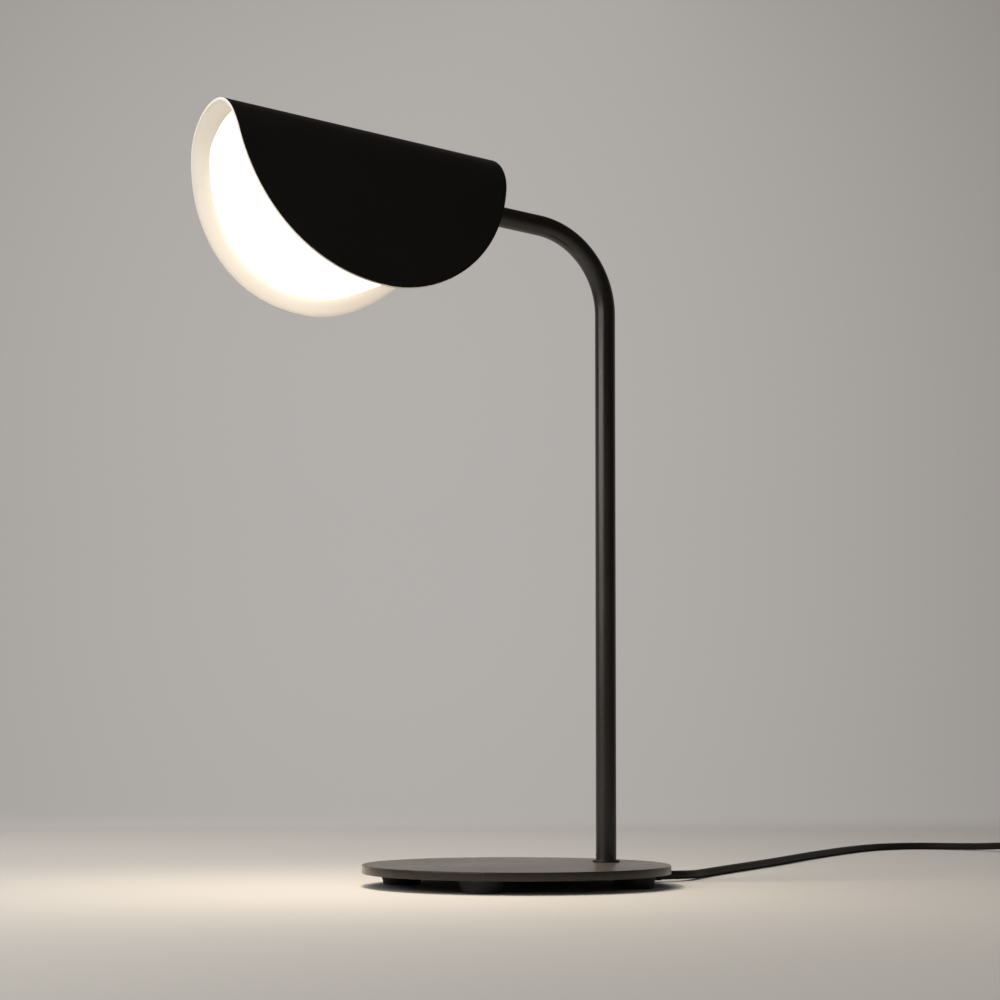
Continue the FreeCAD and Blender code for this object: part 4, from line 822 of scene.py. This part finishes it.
def grooveRings(piece, first, pitch, size):
    # Evenly spaced grooves in a tapered sleeve; size gives its radius at a height.
    start, bottomEnd, finish = piece["grooveShape"]
    rings = []
    for rib in range(piece["ribs"]):
        z = first + rib * pitch
        for depth, way in ((0, 0), (piece["groove"], start), (piece["groove"], bottomEnd),
                           (0, finish)):
            rings.append((size(z) - depth, z + way * pitch))
    return rings


def reliefRings():
    def size(z):
        part = (z - relief["shoulder"]) / (relief["end"] - relief["shoulder"])
        return relief["big"] + (relief["tip"] - relief["big"]) * part

    pitch = (relief["ribEnd"] - relief["ribStart"]) / relief["ribs"]
    return [(closed, relief["start"]), (relief["big"], relief["start"]),
            (relief["big"], relief["neck"]), (relief["small"], relief["neck"]),
            (relief["small"], relief["shoulder"]), (relief["big"], relief["shoulder"]),
            *grooveRings(relief, relief["ribStart"], pitch, size),
            (relief["tip"], relief["end"]), (closed, relief["end"])]


def alongX(x, y, z):
    # Turns a piece made about Z to lie along +X from the given spot.
    return Matrix.Translation((x, y, z)) @ Matrix.Rotation(math.pi / 2, 4, "Y")


def makeRelief():
    obj = ringStack("strainRelief", reliefRings(), segments=40)
    roundOff(obj, relief["edge"], 2, 20)
    settle(obj, "strainRelief", alongX(place["baseX"], 0, cord["reliefLevel"]))
    return dress(obj, "stand", "cordSheath", "strain_relief")


strainRelief = makeRelief()

switch = {
    "width": 0.024, "length": 0.066, "height": 0.013, "corner": 0.007, "seam": 0.00025,
    "edge": 0.0014, "windowX": 0.0053, "windowY": 0.0099, "windowCorner": 0.0009,
    "windowEdge": 0.0003, "wall": 0.0018, "overrun": 0.001, "coreInset": 0.0005,
    "coreEdge": 0.0001,
}
switchSpot = (place["baseX"] + cord["switchX"], cord["switchY"])


def roundedBlock(name, low, high, edge, edgeTest, inset=0.0):
    # A block of the switch's outline with round corners, and rounded where the test holds.
    obj = addBox((switch["width"] - 2 * inset, switch["length"] - 2 * inset, high - low),
                 (0, 0, (low + high) / 2))
    edit(obj, "EDGE")
    pick(obj, lambda m, e: span(e, 2) > tiny, "EDGE")
    bpy.ops.mesh.bevel(offset=switch["corner"] - inset, segments=10, affect="EDGES")
    pick(obj, edgeTest, "EDGE")
    bpy.ops.mesh.bevel(offset=edge, segments=4, affect="EDGES")
    leaveEdit()
    obj.name = name
    return obj


def windowCutter(low, high):
    obj = addBox((2 * switch["windowX"], 2 * switch["windowY"], high - low),
                 (0, 0, (low + high) / 2))
    edit(obj, "EDGE")
    pick(obj, lambda m, e: span(e, 2) > tiny, "EDGE")
    bpy.ops.mesh.bevel(offset=switch["windowCorner"], segments=4, affect="EDGES")
    leaveEdit()
    return obj


def makeSwitch():
    spot = Matrix.Translation((*switchSpot, 0))
    top, seam, overrun = switch["height"], switch["seam"], switch["overrun"]
    lower = roundedBlock("switchLower", 0.0, axis - seam / 2, switch["edge"],
                         lambda m, e: m.z < tiny)
    upper = roundedBlock("switchUpper", axis + seam / 2, top, switch["edge"],
                         lambda m, e: m.z > top - tiny)
    core = roundedBlock("switchCore", axis - seam, axis + seam, switch["coreEdge"],
                        lambda m, e: m.z > axis, inset=switch["coreInset"])
    cutter = windowCutter(axis - overrun, top + overrun)
    cutWith(core, copyOf(cutter, "coreCutter"))
    cutWith(upper, cutter)
    cutWith(lower, windowCutter(switch["wall"], axis + overrun))
    roundOff(upper, switch["windowEdge"], 2, 60)
    lower = joined([lower, core], "switchLower")
    for half, name, node in ((lower, "switchLower", "switch_lower"),
                             (upper, "switchUpper", "switch_upper")):
        settle(half, name, spot)
        dress(half, "stand", "switchPlastic", node)
    return lower, upper


switchLower, switchUpper = makeSwitch()

rocker = {
    "reach": 0.009, "width": 0.01, "level": 0.0094, "underside": 0.0012, "middle": 0.0029,
    "end": 0.004, "tilt": 7.0, "edge": 0.0006, "deepest": -0.0024,
}


def makeRocker():
    obj = addBox((rocker["width"], 2 * rocker["reach"], 1))
    edit(obj, "EDGE")
    pick(obj, lambda m, e: span(e, 1) > tiny, "EDGE")
    bpy.ops.mesh.subdivide(number_cuts=1)
    leaveEdit()
    for vertex in obj.data.vertices:
        end = abs(vertex.co.y) > tiny
        if vertex.co.z > 0:
            vertex.co.z = rocker["end"] if end else rocker["middle"]
        else:
            vertex.co.z = rocker["underside"] if end else rocker["deepest"]
    cleanUp(obj)
    roundOff(obj, rocker["edge"], 3, 45)
    spot = Matrix.Translation((*switchSpot, rocker["level"]))
    turn = Matrix.Rotation(math.radians(rocker["tilt"]), 4, "X")
    settle(obj, "switchRocker", spot @ turn)
    return dress(obj, "rocker", "switchPlastic", "switch_rocker", angle=40)


switchRocker = makeRocker()

tie = {
    "sheet": 0.0012, "width": 0.009, "low": 0.0, "high": 0.0152, "near": 0.0233,
    "far": 0.0396, "corner": 0.0024, "edge": 0.0003,
}


def makeTie():
    obj = addBox((tie["width"], tie["far"] - tie["near"], tie["high"] - tie["low"]),
                 (0, (tie["near"] + tie["far"]) / 2, (tie["low"] + tie["high"]) / 2))
    edit(obj, "EDGE")
    pick(obj, lambda m, e: span(e, 0) > tiny, "EDGE")
    bpy.ops.mesh.bevel(offset=tie["corner"], segments=6, affect="EDGES")
    pick(obj, lambda m, f: abs(f.normal.x) > 0.9, "FACE")
    bpy.ops.mesh.inset(thickness=tie["sheet"], depth=0)
    bpy.ops.mesh.bridge_edge_loops()
    leaveEdit()
    cleanUp(obj)
    roundOff(obj, tie["edge"], 2, 60)
    settle(obj, "cordTie",
           Matrix.Translation((place["baseX"] + cord["coilX"], cord["coilY"], 0)))
    return dress(obj, "stand", "footRubber", "cord_tie")


cordTie = makeTie()

# The pin's tip gives shares of its radius, and how far each ring lies under its end.
plug = {
    "half": 0.01765, "thickness": 0.0137, "neck": 0.006, "back": 0.024, "shoulder": 0.044,
    "front": 0.060, "edge": 0.0028, "shoulderCorner": 0.007, "frontCorner": 0.003,
    "relief": 0.005, "tip": 0.0037, "ribs": 6, "ribStart": 0.002, "ribMargin": 0.004,
    "groove": 0.0005, "grooveShape": (0.2, 0.5, 0.7), "sleeveEdge": 0.0002, "sunk": 0.004,
    "pinRadius": 0.002, "pinLength": 0.019, "pinSpacing": 0.019,
    "pinTip": ((1.0, 0.0012), (0.72, 0.0003), (0.3, 0.0)),
}


def makePlugShell():
    # A flat body about Y that widens from the cord's end to a shoulder.
    obj = addBox((2 * plug["half"], plug["front"] - plug["back"], plug["thickness"]),
                 (0, (plug["back"] + plug["front"]) / 2, 0))
    edit(obj, "EDGE")
    pick(obj, lambda m, e: span(e, 1) > tiny, "EDGE")
    bpy.ops.mesh.subdivide(number_cuts=1)
    leaveEdit()
    for vertex in obj.data.vertices:
        if vertex.co.y < plug["back"] + tiny:
            vertex.co.x = math.copysign(plug["neck"], vertex.co.x)
        elif vertex.co.y < plug["front"] - tiny:
            vertex.co.y = plug["shoulder"]

    def upright(edge):
        return span(edge, 2) > 0.9 * plug["thickness"]

    def flatRimEdge(m, e):
        return (abs(abs(m.z) - plug["thickness"] / 2) < tiny and len(e.link_faces) == 2
                and abs(e.link_faces[0].normal.dot(e.link_faces[1].normal)) < 0.5
                and m.y < plug["front"] - tiny)

    edit(obj, "EDGE")
    pick(obj, lambda m, e: upright(e) and abs(m.y - plug["shoulder"]) < tiny, "EDGE")
    bpy.ops.mesh.bevel(offset=plug["shoulderCorner"], segments=8, affect="EDGES")
    pick(obj, lambda m, e: upright(e) and m.y > plug["front"] - tiny, "EDGE")
    bpy.ops.mesh.bevel(offset=plug["frontCorner"], segments=5, affect="EDGES")
    pick(obj, flatRimEdge, "EDGE")
    bpy.ops.mesh.bevel(offset=plug["edge"], segments=4, affect="EDGES")
    cleanUp(obj)
    return obj


def makePlug():
    shell = makePlugShell()
    layDown = Matrix.Rotation(-math.pi / 2, 4, "X")
    spot = Matrix.Translation((place["baseX"] + cord["plugX"], cord["plugY"],
                               cord["plugAxis"]))

    def size(z):
        return plug["tip"] + (plug["relief"] - plug["tip"]) * z / plug["back"]

    pitch = (plug["back"] - plug["ribMargin"]) / plug["ribs"]
    inside = plug["shoulder"] - plug["sunk"]
    rings = [(closed, 0.0), (plug["tip"], 0.0),
             *grooveRings(plug, plug["ribStart"], pitch, size),
             (plug["relief"], plug["back"]), (plug["relief"], inside), (closed, inside)]
    sleeve = ringStack("plugSleeve", rings, segments=40)
    roundOff(sleeve, plug["sleeveEdge"], 2, 20)
    sleeve.data.transform(layDown)
    body = joined([shell, sleeve], "plugBody")
    settle(body, "plugBody", spot)
    dress(body, "stand", "switchPlastic", "plug_body")
    root, tip = plug["front"] - plug["sunk"], plug["front"] + plug["pinLength"]
    rings = [(closed, root), (plug["pinRadius"], root)]
    rings += [(plug["pinRadius"] * share, tip - under) for share, under in plug["pinTip"]]
    pin = ringStack("pin", rings + [(closed, tip)], segments=32)
    pin.data.transform(layDown)
    pins = [copyOf(pin, f"pin{way}", (way * plug["pinSpacing"] / 2, 0, 0)) for way in (-1, 1)]
    bpy.data.objects.remove(pin)
    pins = joined(pins, "plugPins")
    settle(pins, "plugPins", spot)
    dress(pins, "stand", "pinNickel", "plug_pins")
    return body, pins


plugBody, plugPins = makePlug()

print("cord laid")


# ---- solids that show as they are ----

nodeFinishes = {
    "zincSteel": ("stem_nipple", "stem_washer", "stem_nut", "cord_clamp", "clamp_screws",
                  "swivel_shaft", "spring_washer", "swivel_nut", "stop_pin", "shade_posts",
                  "shade_screws", "board_screws", "driver_screws", "diffuser_spring_front",
                  "diffuser_spring_rear", "spring_rivets", "switch_screws"),
    "washerNylon": ("friction_washer_outer", "friction_washer_inner"),
    "millAluminium": ("carrier",),
    "boardWhite": ("led_board",),
    "ledLight": ("led_chips",),
    "driverWhite": ("led_driver",),
    "wireCover": ("driver_leads", "led_leads", "stem_wires"),
    "footRubber": ("arm_grommet",),
    "contactBrass": ("switch_contacts",),
    "litOpal": ("diffuser",),
}
for finish, names in nodeFinishes.items():
    for name in names:
        nodes[name].data.materials.clear()
        nodes[name].data.materials.append(materials[finish])
print("remaining nodes finished")


# ---- floor and backdrop ----

studio = {
    "floorNear": -4.0, "floorFar": 1.0, "bend": 0.35, "bendSteps": 24, "height": 5.0,
    "half": 6.0, "roughness": 0.8, "specular": 0.1,
    "floorColour": (0.42, 0.405, 0.385), "wallColour": (0.02, 0.02, 0.02),
    "glowMiddle": (0.427, 0.405, 0.388), "glowEdge": (0.25, 0.233, 0.215),
    "glowSpot": (-0.08, 0.4), "glowReach": (0.92, 1.15), "fadeLow": 0.95, "fadeHigh": 2.1,
    "seamLow": 0.0003, "seamHigh": 0.014, "worldColour": (0.0315, 0.0333, 0.035),
    "worldSeen": (0.25, 0.233, 0.215), "farLow": 1.35, "farHigh": 2.7,
}
lookOut = Vector((-camera["back"][0], -camera["back"][1], 0)).normalized()
lookSide = Vector((lookOut.y, -lookOut.x, 0))


def vectorNode(tree, operation, *vectors):
    node = tree.nodes.new("ShaderNodeVectorMath")
    node.operation = operation
    for index, vector in enumerate(vectors):
        feed(tree, vector, node.inputs[index])
    return node.outputs["Value"]


def squaredShare(tree, value, centre, reach):
    share = mathNode(tree, "DIVIDE", mathNode(tree, "SUBTRACT", value, centre), reach)
    return mathNode(tree, "MULTIPLY", share, share)


def paperMaterial():
    # Pale paper: the lamps light the floor, and the wall's soft oval glow is only seen,
    # by the camera and in reflections, and lights nothing.
    material, tree, shader = newMaterial("studioPaper")
    output = shader.outputs[0].links[0].to_node
    coords = tree.nodes.new("ShaderNodeTexCoord").outputs["Object"]
    split = tree.nodes.new("ShaderNodeSeparateXYZ")
    feed(tree, coords, split.inputs[0])
    level = split.outputs["Z"]
    oval = mathNode(tree, "ADD", *(
        squaredShare(tree, value, centre, reach) for value, centre, reach in zip(
            (vectorNode(tree, "DOT_PRODUCT", coords, lookSide), level),
            studio["glowSpot"], studio["glowReach"])))
    glow = mixed(tree, mapped(tree, oval, 0.0, 1.0), studio["glowMiddle"], studio["glowEdge"])
    seam = smoothRamp(tree, level, studio["seamLow"], studio["seamHigh"])
    feed(tree, mixed(tree, seam, studio["floorColour"], studio["wallColour"]),
         shader.inputs["Base Color"])
    feed(tree, glow, shader.inputs["Emission Color"])
    path = tree.nodes.new("ShaderNodeLightPath").outputs
    fading = mathNode(tree, "SUBTRACT", 1.0, smoothRamp(
        tree, level, studio["fadeLow"], studio["fadeHigh"]))
    mirrored = mathNode(tree, "MULTIPLY", path["Is Glossy Ray"], fading)
    wall = mathNode(tree, "MULTIPLY", seam, mathNode(
        tree, "MAXIMUM", path["Is Camera Ray"], mirrored))
    # Other cameras see the floor fade into the same glow far from the lamp.
    far = mathNode(tree, "MULTIPLY", path["Is Camera Ray"], smoothRamp(
        tree, vectorNode(tree, "LENGTH", coords), studio["farLow"], studio["farHigh"]))
    feed(tree, mathNode(tree, "MAXIMUM", wall, far), shader.inputs["Emission Strength"])
    shader.inputs["Roughness"].default_value = studio["roughness"]
    shader.inputs["Specular IOR Level"].default_value = studio["specular"]
    # A camera behind the wall looks through its back.
    behind = tree.nodes.new("ShaderNodeNewGeometry").outputs["Backfacing"]
    clear = tree.nodes.new("ShaderNodeMixShader")
    feed(tree, mathNode(tree, "MULTIPLY", behind, path["Is Camera Ray"]), clear.inputs[0])
    feed(tree, shader.outputs[0], clear.inputs[1])
    feed(tree, tree.nodes.new("ShaderNodeBsdfTransparent").outputs[0], clear.inputs[2])
    feed(tree, clear.outputs[0], output.inputs["Surface"])
    return material


def makeStudio():
    # One sheet: the floor runs back and bends up into the wall.
    steps = studio["bendSteps"]
    spots = [(studio["floorNear"], 0.0), (studio["floorFar"], 0.0)]
    for step in range(1, steps + 1):
        angle = math.pi / 2 * step / steps
        spots.append((studio["floorFar"] + studio["bend"] * math.sin(angle),
                      studio["bend"] * (1 - math.cos(angle))))
    spots.append((studio["floorFar"] + studio["bend"], studio["height"]))
    vertices, faces = [], []
    for along, level in spots:
        for way in (-1, 1):
            spot = lookOut * along + lookSide * studio["half"] * way
            vertices.append((spot.x, spot.y, level))
    for index in range(len(spots) - 1):
        first = 2 * index
        faces.append((first, first + 1, first + 3, first + 2))
    mesh = bpy.data.meshes.new("studioSweep")
    mesh.from_pydata(vertices, [], faces)
    obj = bpy.data.objects.new("studioSweep", mesh)
    bpy.context.scene.collection.objects.link(obj)
    only(obj)
    bpy.ops.object.shade_smooth()
    mesh.materials.append(paperMaterial())


makeStudio()


def lightWorld():
    # A faint blue-white fill for the lamp; the camera sees the wall's edge colour instead.
    world = bpy.data.worlds.new("studioWorld")
    bpy.context.scene.world = world
    world.use_nodes = True
    tree = world.node_tree
    path = tree.nodes.new("ShaderNodeLightPath").outputs
    feed(tree, mixed(tree, path["Is Camera Ray"], studio["worldColour"],
                     studio["worldSeen"]), tree.nodes["Background"].inputs["Color"])


lightWorld()
bpy.context.scene.view_settings.view_transform = "Standard"
print("studio set")
